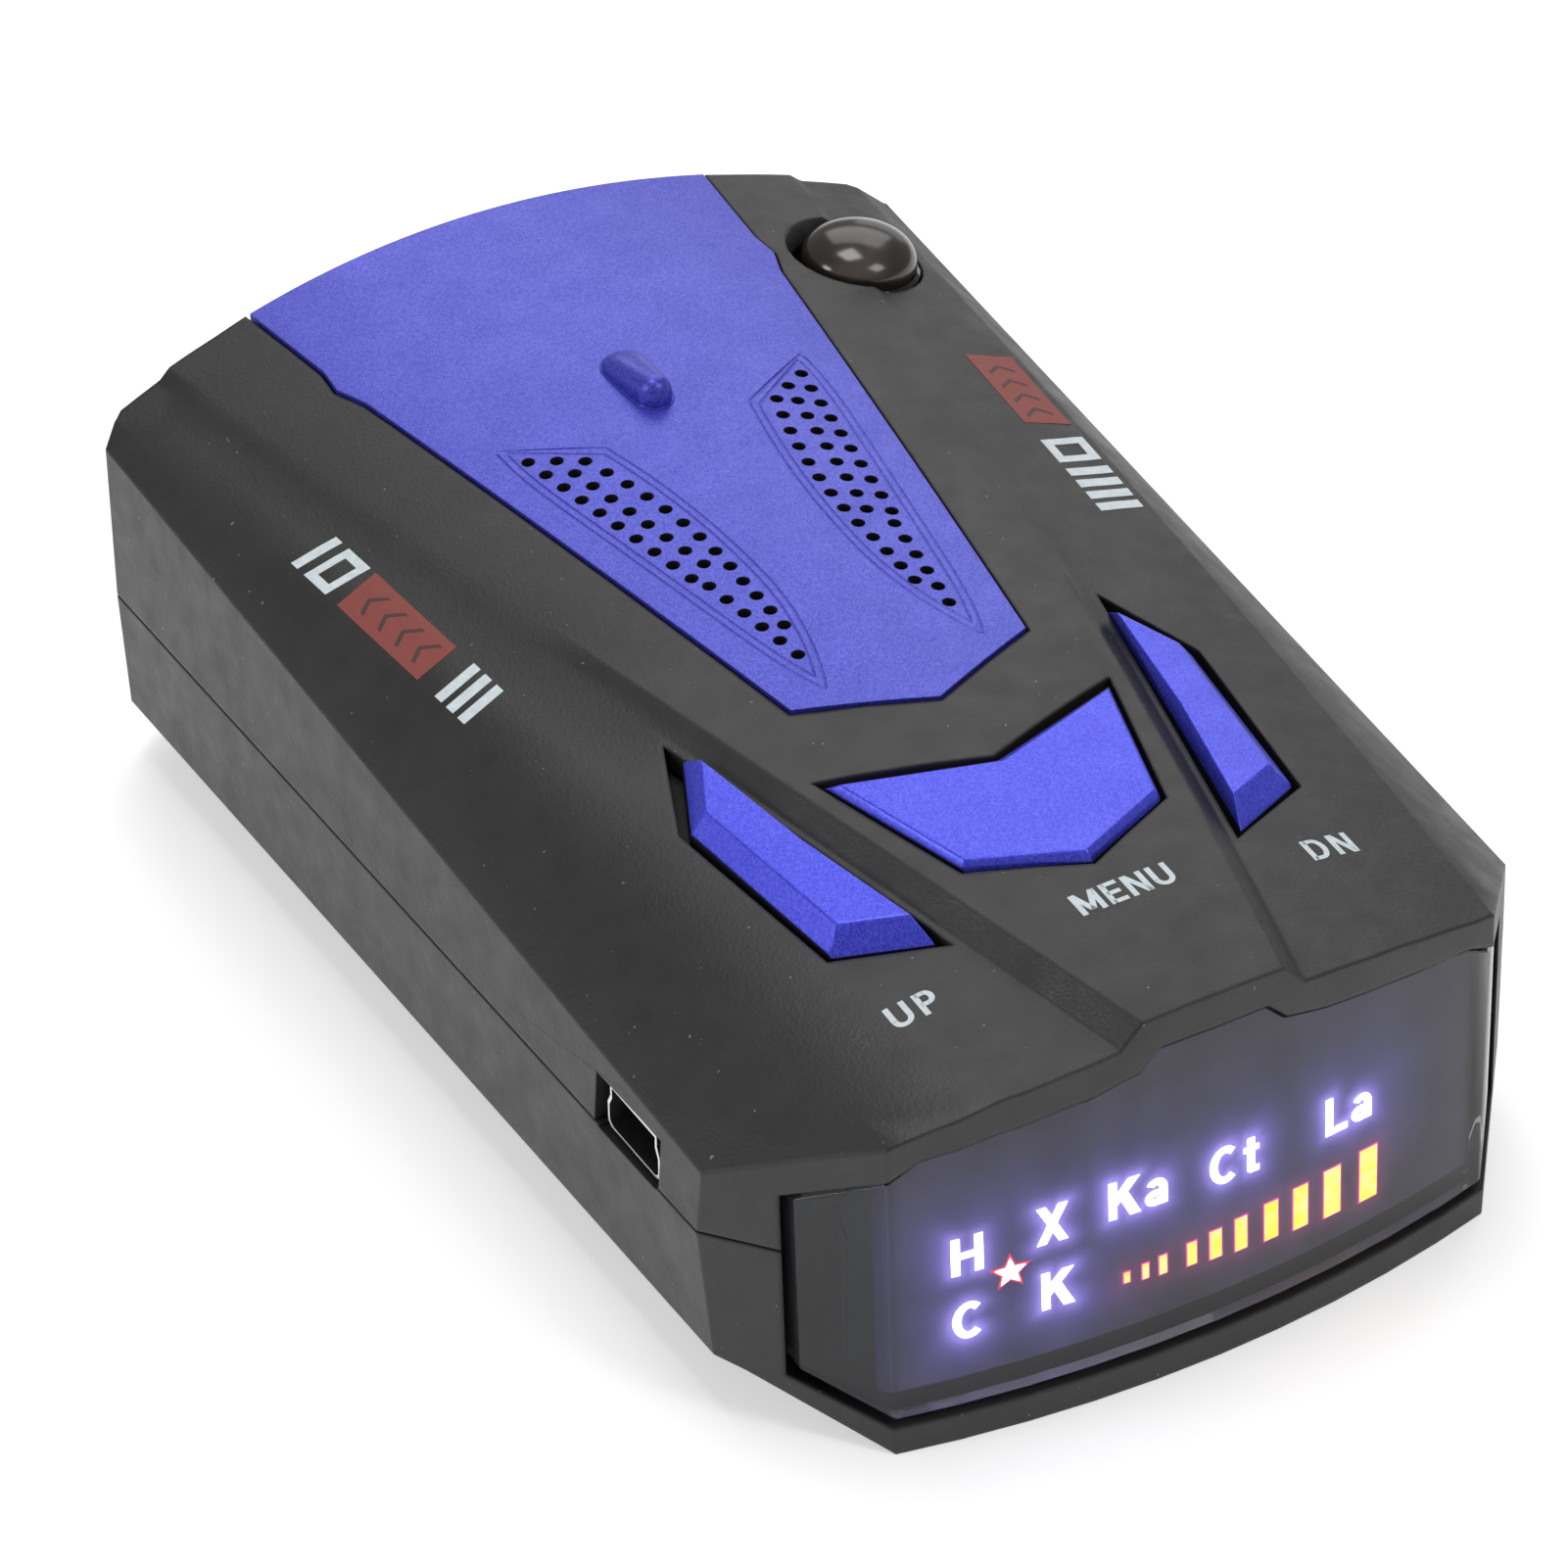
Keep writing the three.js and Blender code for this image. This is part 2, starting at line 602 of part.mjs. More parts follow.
function display() {
  addNode('display_lens', frontPanel(LENS_INSET, LENS_THICKNESS, LENS_GAP, -44), 0x2a2830, 0.08, 0, {
    transparent: true,
    opacity: 0.75,
  });
  const column = ({ half, bottom, top }) => {
    const corners = [[-half, bottom], [half, bottom], [half, top], [-half, top]];
    return prismAlongY(corners, FRONT_OF_CASE, -44);
  };
  const filmDepth = LENS_INSET + LENS_THICKNESS + FILM.gap;
  const shellAt = (depth, thickness) => planBlock(depth).subtract(planBlock(depth + thickness));
  const film = shellAt(filmDepth, FILM.thickness).intersect(column(FILM));
  addNode('icon_film', film, 0x08080a, 0.5);
  const maskDepth = filmDepth + FILM.thickness + MASK.gap;
  let mask = shellAt(maskDepth, MASK.thickness).intersect(column(MASK));
  const cell = MASK.cellHalf;
  for (const [x, z] of ICON_CELLS) {
    mask = mask.subtract(box(x - cell, x + cell, FRONT_OF_CASE, -44, z - cell, z + cell));
  }
  for (let bar = 0; bar < BARS.count; bar += 1) {
    const x = BARS.firstX + BARS.pitch * bar;
    const barTop = BARS.top + BARS.rise * bar;
    mask = mask.subtract(box(x - BARS.half, x + BARS.half, FRONT_OF_CASE, -44, BARS.bottom, barTop));
  }
  addNode('light_mask', mask, 0xe6e6e2, 0.6);
  const board = DISPLAY_BOARD;
  const boardSolid = box(-board.half, board.half, board.front, board.back, board.bottom, board.top);
  addNode('display_board', boardSolid, 0x1f5a34, 0.5);
  const ledBack = board.front - REST_GAP;
  const ledFront = ledBack - LED.depth;
  const led = (x0, x1, z) => box(x0, x1, ledFront, ledBack, z - LED.halfHeight, z + LED.halfHeight);
  ICON_CELLS.forEach(([x, z], index) => {
    addNode(`icon_led_${index + 1}`, led(x - LED.half, x + LED.half, z), 0xf2efe0, 0.3);
  });
  addNode('bar_led_array', led(-6.4, 16.4, 7.5), 0xf2efe0, 0.3);
  addNode('display_header', box(-10, 10, board.back + REST_GAP, -43.0, 11.4, 13.9), 0x101012, 0.5);
}

// ---------- Buttons ----------

// A ring of points over an outline, at the height that heightAt gives.
function ringOver(outline, heightAt) {
  return outline.map(([x, y]) => new THREE.Vector3(x, y, heightAt(x, y)));
}

const MENU_CAP_FOOT = bothSides([[0, -28.3], [11.8, -24.4], [8.1, -36.8], [0, -40.5]]);
const MENU_CAP_TOP = bothSides([[0, -29.1], [11.1, -25.3], [7.8, -36.5], [0, -39.9]]);

// The cap, its retaining flange below the case top, and the stem that pushes the switch.
function pushButton(topZ, base, top, flange, lift, stem) {
  const under = (drop) => (x, y) => topZ(x, y) - drop;
  const capFloor = FLANGE_TOP_DROP + FLANGE_THICKNESS / 2;
  const skirt = [ringOver(base, under(capFloor)), ringOver(base, under(0.15))];
  const cap = loft([...skirt, ringOver(top, under(-lift))], ontoXY);
  const collarTop = ringOver(flange, under(FLANGE_TOP_DROP));
  const collarFloor = ringOver(flange, under(FLANGE_TOP_DROP + FLANGE_THICKNESS));
  const [x, y] = stem;
  const stemPost = post(x, y, PLUNGER.topZ + REST_GAP, topZ(x, y) - capFloor + 0.3, STEM_RADIUS, 16);
  return cap.add(loft([collarFloor, collarTop], ontoXY)).add(stemPost);
}

function buttons() {
  const menuFlange = menuOutline(FLANGE_REACH);
  const menu = pushButton(centreTopZ, MENU_CAP_FOOT, MENU_CAP_TOP, menuFlange, MENU_CAP_LIFT, MENU_SWITCH);
  addNode('menu_button', menu, 0x7370f5, 0.4, 0.3);
  for (const [name, side] of [['up_button', -1], ['down_button', 1]]) {
    const turn = (outline) => outline.map(([x, y]) => [side * x, y]);
    const flange = sideOutline(side, FLANGE_REACH);
    const stem = [side * SIDE_SWITCH[0], SIDE_SWITCH[1]];
    const foot = turn(SIDE_CAP_FOOT);
    const button = pushButton(sideTopZ, foot, turn(SIDE_CAP_TOP), flange, SIDE_CAP_LIFT, stem);
    addNode(name, button, 0x7370f5, 0.4, 0.3);
  }
}

// ---------- Boards and what is on them ----------

function crossHeadScrew(x, y, screw) {
  const { headZ, headRadius } = screw;
  const recessTop = headZ + screw.recess;
  const arm = headRadius * 0.66;
  const half = headRadius / 8;
  const head = post(x, y, headZ, headZ + screw.headHeight, headRadius);
  const shank = post(x, y, recessTop + 0.2, screw.tipZ, screw.radius, 16);
  const slot = box(x - arm, x + arm, y - half, y + half, headZ - 1, recessTop);
  const cross = box(x - half, x + half, y - arm, y + arm, headZ - 1, recessTop);
  return head.add(shank).subtract(slot).subtract(cross);
}

function keyBoard() {
  const outline = bothSides([[0, -47.0], [9, -46.4], [21.6, -38], [21.8, -20], [17, -15]]);
  let board = prism(outline, KEY_BOARD_Z, KEY_BOARD_TOP);
  for (const [x, y] of KEY_SCREWS) {
    board = board.subtract(post(x, y, 10, 30, KEY_SCREW.radius + 0.3, 14));
  }
  addNode('key_board', board, 0x1f5a34, 0.5);
  KEY_SCREWS.forEach(([x, y], index) => {
    addNode(`key_board_screw_${index + 1}`, crossHeadScrew(x, y, KEY_SCREW), 0xb9bcc0, 0.35, 0.9);
  });
  const switches = { menu: MENU_SWITCH, up: [-SIDE_SWITCH[0], SIDE_SWITCH[1]], down: SIDE_SWITCH };
  const { half, height, pocketRadius, pocketFloor } = SWITCH;
  const floorZ = KEY_BOARD_TOP + pocketFloor;
  for (const [name, [x, y]] of Object.entries(switches)) {
    const block = box(-half, half, -half, half, KEY_BOARD_TOP + REST_GAP, KEY_BOARD_TOP + height);
    const body = block.translate([x, y, 0]);
    addNode(`${name}_switch`, body.subtract(post(x, y, floorZ, 40, pocketRadius, 16)), 0x18181a, 0.45);
    const plunger = post(x, y, floorZ + BUTTON_TRAVEL + 0.2, PLUNGER.topZ, PLUNGER.radius, 16);
    addNode(`${name}_plunger`, plunger, 0xb8322c, 0.4);
  }
}

function mainBoard() {
  const outline = bothSides([[27.0, -44.6], [31.0, -39.8], [32.6, 40.0], [30.8, 43.6]]);
  let board = prism(outline, MAIN_BOARD_Z, MAIN_BOARD_TOP);
  for (const [x, y] of Object.values(SCREW_PLACES)) {
    board = board.subtract(post(x, y, 0, 40, HOUSING_SCREW.radius + 0.35, 16));
  }
  addNode('main_board', board, 0x1f5a34, 0.5);
  const onBoard = MAIN_BOARD_TOP + REST_GAP;
  addNode('board_header', box(-8, 8, -42.9, -40.4, onBoard, KEY_BOARD_Z - REST_GAP), 0x101012, 0.5);
  addNode('processor', box(-6, 6, -12, 0, onBoard, onBoard + 1.45), 0x141416, 0.5);
  addNode('crystal', box(9.5, 13.5, -10, 0, onBoard, onBoard + 3.15), 0xc9ccd0, 0.3, 0.9);
  CAPACITOR_PLACES.forEach(([x, y], index) => {
    const can = post(x, y, onBoard, MAIN_BOARD_TOP + CAPACITOR.height, CAPACITOR.radius);
    addNode(`capacitor_${index + 1}`, can, 0x24304e, 0.4);
  });
}

// ---------- USB socket in the left wall ----------

function usbOutline(inset) {
  const half = USB.half - inset;
  const low = USB.bottom + inset;
  const high = USB.top - inset;
  const right = [
    [half - 0.4, low],
    [half, low + 0.4],
    [half, high - 1.7],
    [half - 0.4, high - 0.9],
    [half - 0.4, high],
  ];
  return bothSides(right);
}

function alongX(outline, x0, x1) {
  const shape = new THREE.Shape(outline.map(([y, z]) => new THREE.Vector2(y, z)));
  const geometry = new THREE.ExtrudeGeometry(shape, { depth: x1 - x0, bevelEnabled: false });
  geometry.rotateX(Math.PI / 2);
  geometry.rotateZ(Math.PI / 2);
  geometry.translate(x0, USB.y, 0);
  return solidOf(geometry);
}

function usbSocket() {
  const { front, back, y, bottom, top, wall } = USB;
  const shell = alongX(usbOutline(0), front, back).subtract(alongX(usbOutline(wall), front - 2, back + 2));
  addNode('usb_shell', shell, 0xd6d8da, 0.2, 1);
  const middle = (bottom + top) / 2 + 0.3;
  const plug = alongX(usbOutline(wall + 0.05), back - 2.4, back - 0.1);
  const blade = box(front + 1.4, back - 2, y - 2.1, y + 2.1, middle - 0.45, middle + 0.45);
  addNode('usb_insulator', plug.add(blade), 0x0e0e10, 0.45);
  for (let pin = 0; pin < USB_PIN_COUNT; pin += 1) {
    const pinY = y + (pin - (USB_PIN_COUNT - 1) / 2) * USB_PIN_PITCH;
    const contact = box(front + 1.7, back - 2.6, pinY - 0.17, pinY + 0.17, middle + 0.46, middle + 0.6);
    addNode(`usb_contact_${pin + 1}`, contact, 0xd9b45a, 0.25, 1);
  }
}

// ---------- Microwave horn, speaker and rear window ----------

function hornRing(y, half, z0, z1) {
  return [[half, z0], [half, z1], [-half, z1], [-half, z0]].map(([x, z]) => new THREE.Vector3(x, y, z));
}

function horn() {
  const outer = loft([
    hornRing(4, 7.0, 3.0, 11.6),
    hornRing(16, 7.0, 3.0, 11.6),
    hornRing(45.6, 17.4, 2.1, 12.2),
  ], ontoXZ);
  const inner = loft([
    hornRing(6, 5.6, 4.4, 10.2),
    hornRing(16, 5.6, 4.4, 10.2),
    hornRing(46.2, 16.3, 3.2, 11.1),
  ], ontoXZ);
  addNode('horn', outer.subtract(inner), 0xb4b7ba, 0.4, 0.9);
  addNode('mixer_board', box(-12, 12, 3, 24, 12.3, 13.3), 0x1f5a34, 0.5);
  addNode('mixer_shield', box(-9, 9, 24.4, 36, 12.4, 13.6), 0xc2c5c8, 0.3, 0.9);
}

// Profiles of the speaker's pieces, as [radius, z].
const SPEAKER_RIM = [[15.4, 30.2], [16.4, 30.2], [16.4, 29.0], [10.0, 24.2], [8.6, 24.2], [8.6, 24.9]];
const SPEAKER_INNER = [[9.6, 24.9], [15.4, 29.2], [15.4, 30.2]];
const CONE_BACK = [[0, 26.6], [3.0, 25.8], [4.2, 25.5], [13.6, 29.5], [15.2, 29.6]];
const CONE_FACE = [[15.2, 29.9], [13.4, 30.0], [4.4, 26.3], [3.4, 26.9], [0, 27.4]];
const MAGNET = [[0, 20.6], [8.2, 20.6], [8.2, 24.1], [0, 24.1]];

function speaker() {
  const place = (profile) => {
    const geometry = turned(profile, 32);
    geometry.translate(0, SPEAKER_Y, 0);
    return solidOf(geometry);
  };
  addNode('speaker_frame', place([...SPEAKER_RIM, ...SPEAKER_INNER]), 0x8d9094, 0.4, 0.8);
  addNode('speaker_cone', place([...CONE_BACK, ...CONE_FACE]), 0x1b1b1d, 0.8);
  addNode('speaker_magnet', place(MAGNET), 0x55585c, 0.5, 0.6);
}

function rearWindow() {
  const half = REAR_WINDOW.half - REAR_WINDOW.gap;
  const low = REAR_WINDOW.bottom + REAR_WINDOW.gap;
  const high = REAR_WINDOW.top - REAR_WINDOW.gap;
  const opening = prismAlongY([[-half, low], [half, low], [half, high], [-half, high]], 30, 60);
  const layer = planBlock(REAR_WINDOW.inset).subtract(planBlock(REAR_WINDOW.inset + REAR_WINDOW.thickness));
  const look = { transparent: true, opacity: 0.8 };
  addNode('rear_window', layer.intersect(opening), 0x1c0f10, 0.1, 0, look);
  addNode('rear_sensor', box(-5, 5, 39.0, 43.0, MAIN_BOARD_TOP + REST_GAP, 24.0), 0x161618, 0.4);
}

// ---------- Screws and label ----------

function housingScrews() {
  for (const [name, [x, y]] of Object.entries(SCREW_PLACES)) {
    addNode(name, crossHeadScrew(x, y, HOUSING_SCREW), 0xb9bcc0, 0.35, 0.9);
  }
}

function label() {
  const { half, front, rear, gap } = LABEL;
  addNode('base_label', box(gap - half, half - gap, front + gap, rear - gap, 0.08, 0.3), 0xb8bcc0, 0.5);
}

upperShell();
lowerShell();
topCover();
laserDome();
display();
buttons();
keyBoard();
mainBoard();
usbSocket();
horn();
speaker();
rearWindow();
housingScrews();
label();

export default detector;
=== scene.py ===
"""Looks of the radar detector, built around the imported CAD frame. Metres, +Z up, display towards -Y."""

import json
import math

import bmesh
import bpy
import numpy as np
from mathutils import Matrix, Vector
from mathutils.bvhtree import BVHTree
from mathutils.kdtree import KDTree


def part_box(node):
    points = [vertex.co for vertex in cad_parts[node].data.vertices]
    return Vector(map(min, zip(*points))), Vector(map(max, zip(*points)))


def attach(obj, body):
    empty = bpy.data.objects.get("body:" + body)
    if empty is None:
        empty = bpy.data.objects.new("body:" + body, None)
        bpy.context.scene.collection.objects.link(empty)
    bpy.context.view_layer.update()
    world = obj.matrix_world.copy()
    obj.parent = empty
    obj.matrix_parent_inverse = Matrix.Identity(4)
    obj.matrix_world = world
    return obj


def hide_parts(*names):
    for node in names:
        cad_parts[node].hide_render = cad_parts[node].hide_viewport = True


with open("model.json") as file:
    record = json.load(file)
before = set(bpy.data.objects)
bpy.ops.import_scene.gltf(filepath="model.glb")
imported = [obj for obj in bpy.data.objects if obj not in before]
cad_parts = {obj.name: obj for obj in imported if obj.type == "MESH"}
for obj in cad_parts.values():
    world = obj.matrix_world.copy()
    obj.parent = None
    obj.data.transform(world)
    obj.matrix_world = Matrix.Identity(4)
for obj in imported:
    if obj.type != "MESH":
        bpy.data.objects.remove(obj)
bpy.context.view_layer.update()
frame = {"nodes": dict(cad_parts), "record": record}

MM = 0.001
NODES = frame["nodes"]
CASE = "case"
KEYS = {"menu_button": "menu_key", "up_button": "up_key", "down_button": "down_key"}

# ---------- Camera, floor and light ----------

CAMERA_PLACE = (-182.47, -307.44, 285.09)
CAMERA_AZIMUTH = -30.24
CAMERA_ELEVATION = 37.10
CAMERA_ROLL = -0.26
CAMERA_LENS = 138.05
CAMERA_SENSOR = 36
CAMERA_CLIP_START = 0.01


def add_camera():
    azimuth = math.radians(CAMERA_AZIMUTH)
    elevation = math.radians(CAMERA_ELEVATION)
    roll = math.radians(CAMERA_ROLL)
    level = math.cos(elevation)
    back = Vector((math.sin(azimuth) * level, -math.cos(azimuth) * level, math.sin(elevation)))
    right = Vector((math.cos(azimuth), math.sin(azimuth), 0))
    up = back.cross(right)
    x_axis = right * math.cos(roll) + up * math.sin(roll)
    y_axis = up * math.cos(roll) - right * math.sin(roll)
    data = bpy.data.cameras.new("camera")
    data.lens = CAMERA_LENS
    data.sensor_width = CAMERA_SENSOR
    data.clip_start = CAMERA_CLIP_START
    camera = bpy.data.objects.new("camera", data)
    turn = Matrix((x_axis, y_axis, back)).transposed().to_4x4()
    camera.matrix_world = Matrix.Translation(Vector(CAMERA_PLACE) * MM) @ turn
    bpy.context.scene.collection.objects.link(camera)
    bpy.context.scene.camera = camera


def add_softbox(name, place, width, depth, radiance):
    """A rectangular white light at place, in metres, that faces the object."""
    data = bpy.data.lights.new(name, "AREA")
    data.shape = "RECTANGLE"
    data.size = width
    data.size_y = depth
    data.energy = radiance * math.pi * width * depth
    light = bpy.data.objects.new(name, data)
    light.location = place
    light.rotation_euler = Vector(place).to_track_quat("Z", "Y").to_euler()
    bpy.context.scene.collection.objects.link(light)


# The floor lies a hair below the case's flat base, so that the two never share a plane.
FLOOR_Z = -0.00005
FLOOR_HALF = 4
FLOOR_GLOW = 0.46
ROOM_COLOUR = (0.97, 0.965, 0.96, 1)
ROOM_STRENGTH = 0.3
# Each light's name, place, width and depth in metres, and radiance
LIGHTS = [
    ("light_key", (0.42, 0.62, 0.62), 0.75, 0.55, 1.6),
    ("light_top", (0.0, 0.17, 0.85), 0.34, 0.34, 5.6),
    ("light_left", (-0.75, 0.15, 0.38), 0.24, 0.24, 7.0),
    ("light_right", (0.72, 0.69, 0.17), 0.5, 0.26, 0.6),
    ("light_front", (0.27, -0.45, 0.69), 0.3, 0.3, 4.3),
]


def add_stage():
    corners = [(x * FLOOR_HALF, y * FLOOR_HALF) for x, y in ((-1, -1), (1, -1), (1, 1), (-1, 1))]
    floor = mesh_object("floor", [(x, y, FLOOR_Z) for x, y in corners], [(0, 1, 2, 3)])
    shader = new_material("floor_white")[1]
    shader.inputs["Base Color"].default_value = (0.9, 0.9, 0.9, 1)
    shader.inputs["Roughness"].default_value = 0.9
    shader.inputs["Specular IOR Level"].default_value = 0.1
    shader.inputs["Emission Color"].default_value = (1, 1, 1, 1)
    shader.inputs["Emission Strength"].default_value = FLOOR_GLOW
    floor.data.materials.append(MATERIALS["floor_white"])
    world = bpy.data.worlds.new("studio")
    world.use_nodes = True
    background = world.node_tree.nodes["Background"]
    background.inputs["Color"].default_value = ROOM_COLOUR
    background.inputs["Strength"].default_value = ROOM_STRENGTH
    bpy.context.scene.world = world
    for light in LIGHTS:
        add_softbox(*light)
    bpy.context.scene.view_settings.view_transform = "Standard"


# ---------- Meshes ----------


def object_of(mesh):
    obj = bpy.data.objects.new(mesh.name, mesh)
    bpy.context.scene.collection.objects.link(obj)
    return obj


def mesh_object(name, vertices, faces):
    mesh = bpy.data.meshes.new(name)
    mesh.from_pydata([tuple(v) for v in vertices], [], faces)
    mesh.validate()
    return object_of(mesh)


def object_from_bmesh(name, bm):
    bmesh.ops.recalc_face_normals(bm, faces=bm.faces)
    mesh = bpy.data.meshes.new(name)
    bm.to_mesh(mesh)
    bm.free()
    return object_of(mesh)


def with_outward_faces(obj):
    bm = bmesh.new()
    bm.from_mesh(obj.data)
    bmesh.ops.recalc_face_normals(bm, faces=bm.faces)
    bm.to_mesh(obj.data)
    bm.free()
    return obj


def prism_faces(count, base=0):
    """Faces of a closed prism over count points, listed first below and then above, from base on."""
    sides = [(i, (i + 1) % count, count + (i + 1) % count, count + i) for i in range(count)]
    faces = [tuple(range(count - 1, -1, -1)), tuple(range(count, 2 * count)), *sides]
    return [tuple(base + k for k in face) for face in faces]


def slab_faces(nx, ny):
    """Faces of a closed slab between two grids of nx by ny points, listed one after the other."""
    lower = nx * ny
    faces = []
    for j in range(ny - 1):
        for i in range(nx - 1):
            a = j * nx + i
            faces.append((a, a + 1, a + nx + 1, a + nx))
            faces.append((lower + a, lower + a + nx, lower + a + nx + 1, lower + a + 1))
    rim = [*range(nx), *range(2 * nx - 1, lower, nx), *range(lower - 2, lower - nx - 1, -1)]
    rim += list(range(lower - 2 * nx, 0, -nx))
    for a, b in zip(rim, rim[1:] + rim[:1]):
        faces.append((a, lower + a, lower + b, b))
    return faces


def apply_modifiers(obj):
    depsgraph = bpy.context.evaluated_depsgraph_get()
    bpy.context.view_layer.update()
    mesh = bpy.data.meshes.new_from_object(obj.evaluated_get(depsgraph))
    obj.modifiers.clear()
    obj.data = mesh
    return obj


def smooth_by_angle(obj, degrees):
    mesh = obj.data
    limit = math.radians(degrees)
    bm = bmesh.new()
    bm.from_mesh(mesh)
    for face in bm.faces:
        face.smooth = True
    for edge in bm.edges:
        edge.smooth = len(edge.link_faces) == 2 and edge.calc_face_angle(math.pi) < limit
    bm.to_mesh(mesh)
    bm.free()


MERGE_DISTANCE = 0.04 * MM
FLAT_ANGLE = math.radians(0.35)
FACE_WEIGHT = 80


def joined_mesh(node):
    """The node's mesh with its corners merged and its flat faces made whole."""
    bm = bmesh.new()
    bm.from_mesh(NODES[node].data)
    bmesh.ops.remove_doubles(bm, verts=bm.verts, dist=MERGE_DISTANCE)
    bmesh.ops.dissolve_degenerate(bm, edges=bm.edges, dist=MERGE_DISTANCE)
    bmesh.ops.dissolve_limit(bm, angle_limit=FLAT_ANGLE, verts=bm.verts, edges=bm.edges)
    return bm


def weighted_normals(obj, sharp=32):
    """Smooth shading across shallow edges, ruled by the larger faces."""
    smooth_by_angle(obj, sharp)
    weighted = obj.modifiers.new("normals", "WEIGHTED_NORMAL")
    weighted.keep_sharp = True
    weighted.weight = FACE_WEIGHT
    apply_modifiers(obj)


def clean_copy(node, name):
    """A copy of a CAD node with its splinters merged and its shallow facets shaded smooth."""
    obj = object_from_bmesh(name, joined_mesh(node))
    weighted_normals(obj)
    return obj


def rounded_copy(node, name, radius, sharper_than, above=lambda middle: True):
    """A copy of a CAD node. Its edges sharper than an angle in degrees are rounded to radius in mm."""
    bm = joined_mesh(node)
    weights = bm.edges.layers.float.new("bevel_weight_edge")
    for edge in bm.edges:
        if len(edge.link_faces) == 2 and math.degrees(edge.calc_face_angle(0)) > sharper_than:
            middle = (edge.verts[0].co + edge.verts[1].co) / (2 * MM)
            if above(middle):
                edge[weights] = 1
    obj = object_from_bmesh(name, bm)
    bevel = obj.modifiers.new("edges", "BEVEL")
    bevel.limit_method = "WEIGHT"
    bevel.width = radius * MM
    bevel.segments = 2
    bevel.use_clamp_overlap = False
    bevel.loop_slide = False
    apply_modifiers(obj)
    weighted_normals(obj)
    return obj


def surface_tree(obj):
    bm = bmesh.new()
    bm.from_mesh(obj.data)
    tree = BVHTree.FromBMesh(bm)
    bm.free()
    return tree


def near_tree(points):
    """Finds the nearest of the points."""
    tree = KDTree(len(points))
    for i, point in enumerate(points):
        tree.insert(point, i)
    tree.balance()
    return tree


def drop_onto(tree, x, y):
    """Height of a surface under the point x, y."""
    hit = tree.ray_cast(Vector((x, y, 0.1)), Vector((0, 0, -1)))
    return hit[0].z if hit[0] else None


# ---------- Materials ----------


MATERIALS = {}


def new_material(name):
    """Makes a material and keeps it in MATERIALS. Returns its node tree and its shader."""
    material = bpy.data.materials.new(name)
    material.use_nodes = True
    MATERIALS[name] = material
    return material.node_tree, material.node_tree.nodes["Principled BSDF"]


def texture(tree, kind, scale, detail=2.0, roughness=0.5, stretch=(1, 1, 1)):
    """A texture node on the object's own coordinates. scale is in cells per mm."""
    place = tree.nodes.new("ShaderNodeTexCoord")
    mapping = tree.nodes.new("ShaderNodeMapping")
    mapping.inputs["Scale"].default_value = [s / MM for s in stretch]
    tree.links.new(place.outputs["Object"], mapping.inputs["Vector"])
    node = tree.nodes.new(kind)
    tree.links.new(mapping.outputs["Vector"], node.inputs["Vector"])
    node.inputs["Scale"].default_value = scale
    if "Detail" in node.inputs:
        node.inputs["Detail"].default_value = detail
        node.inputs["Roughness"].default_value = roughness
    return node


def ramp(tree, source, stops):
    """A colour ramp from a texture output. stops are (place, colour) pairs."""
    node = tree.nodes.new("ShaderNodeValToRGB")
    tree.links.new(source, node.inputs["Fac"])
    elements = node.color_ramp.elements
    while len(elements) < len(stops):
        elements.new(0.5)
    for element, (place, colour) in zip(elements, stops):
        element.position = place
        element.color = (*colour, 1)
    return node.outputs["Color"]


def spread(tree, source, low, high, from_low=0.3, from_high=0.7):
    """Maps a texture's values to the range from low to high."""
    node = tree.nodes.new("ShaderNodeMapRange")
    node.inputs["From Min"].default_value = from_low
    node.inputs["From Max"].default_value = from_high
    node.inputs["To Min"].default_value = low
    node.inputs["To Max"].default_value = high
    tree.links.new(source, node.inputs["Value"])
    return node.outputs["Result"]


def multiplied(tree, colour, shade):
    """A colour, half of it multiplied by a shade."""
    mix = tree.nodes.new("ShaderNodeMixRGB")
    mix.blend_type = "MULTIPLY"
    mix.inputs["Fac"].default_value = 0.5
    tree.links.new(colour, mix.inputs["Color1"])
    tree.links.new(shade, mix.inputs["Color2"])
    return mix.outputs["Color"]


def colour_by(tree, shader, source, stops, socket="Base Color"):
    tree.links.new(ramp(tree, source, stops), shader.inputs[socket])


def roughness_by(tree, shader, source, low, high):
    tree.links.new(spread(tree, source, low, high), shader.inputs["Roughness"])


def bump(tree, shader, source, depth, strength, below=None):
    node = tree.nodes.new("ShaderNodeBump")
    node.inputs["Distance"].default_value = depth * MM
    node.inputs["Strength"].default_value = strength
    tree.links.new(source, node.inputs["Height"])
    if below:
        tree.links.new(below.outputs["Normal"], node.inputs["Normal"])
    tree.links.new(node.outputs["Normal"], shader.inputs["Normal"])
    return node


def scaled(colour, factor):
    return tuple(min(1.0, c * factor) for c in colour)


def rounded_normal(tree, radius):
    """A node that shades the edges of a piece as if they were rounded to radius, in mm."""
    node = tree.nodes.new("ShaderNodeBevel")
    node.samples = 6
    node.inputs["Radius"].default_value = radius * MM
    return node


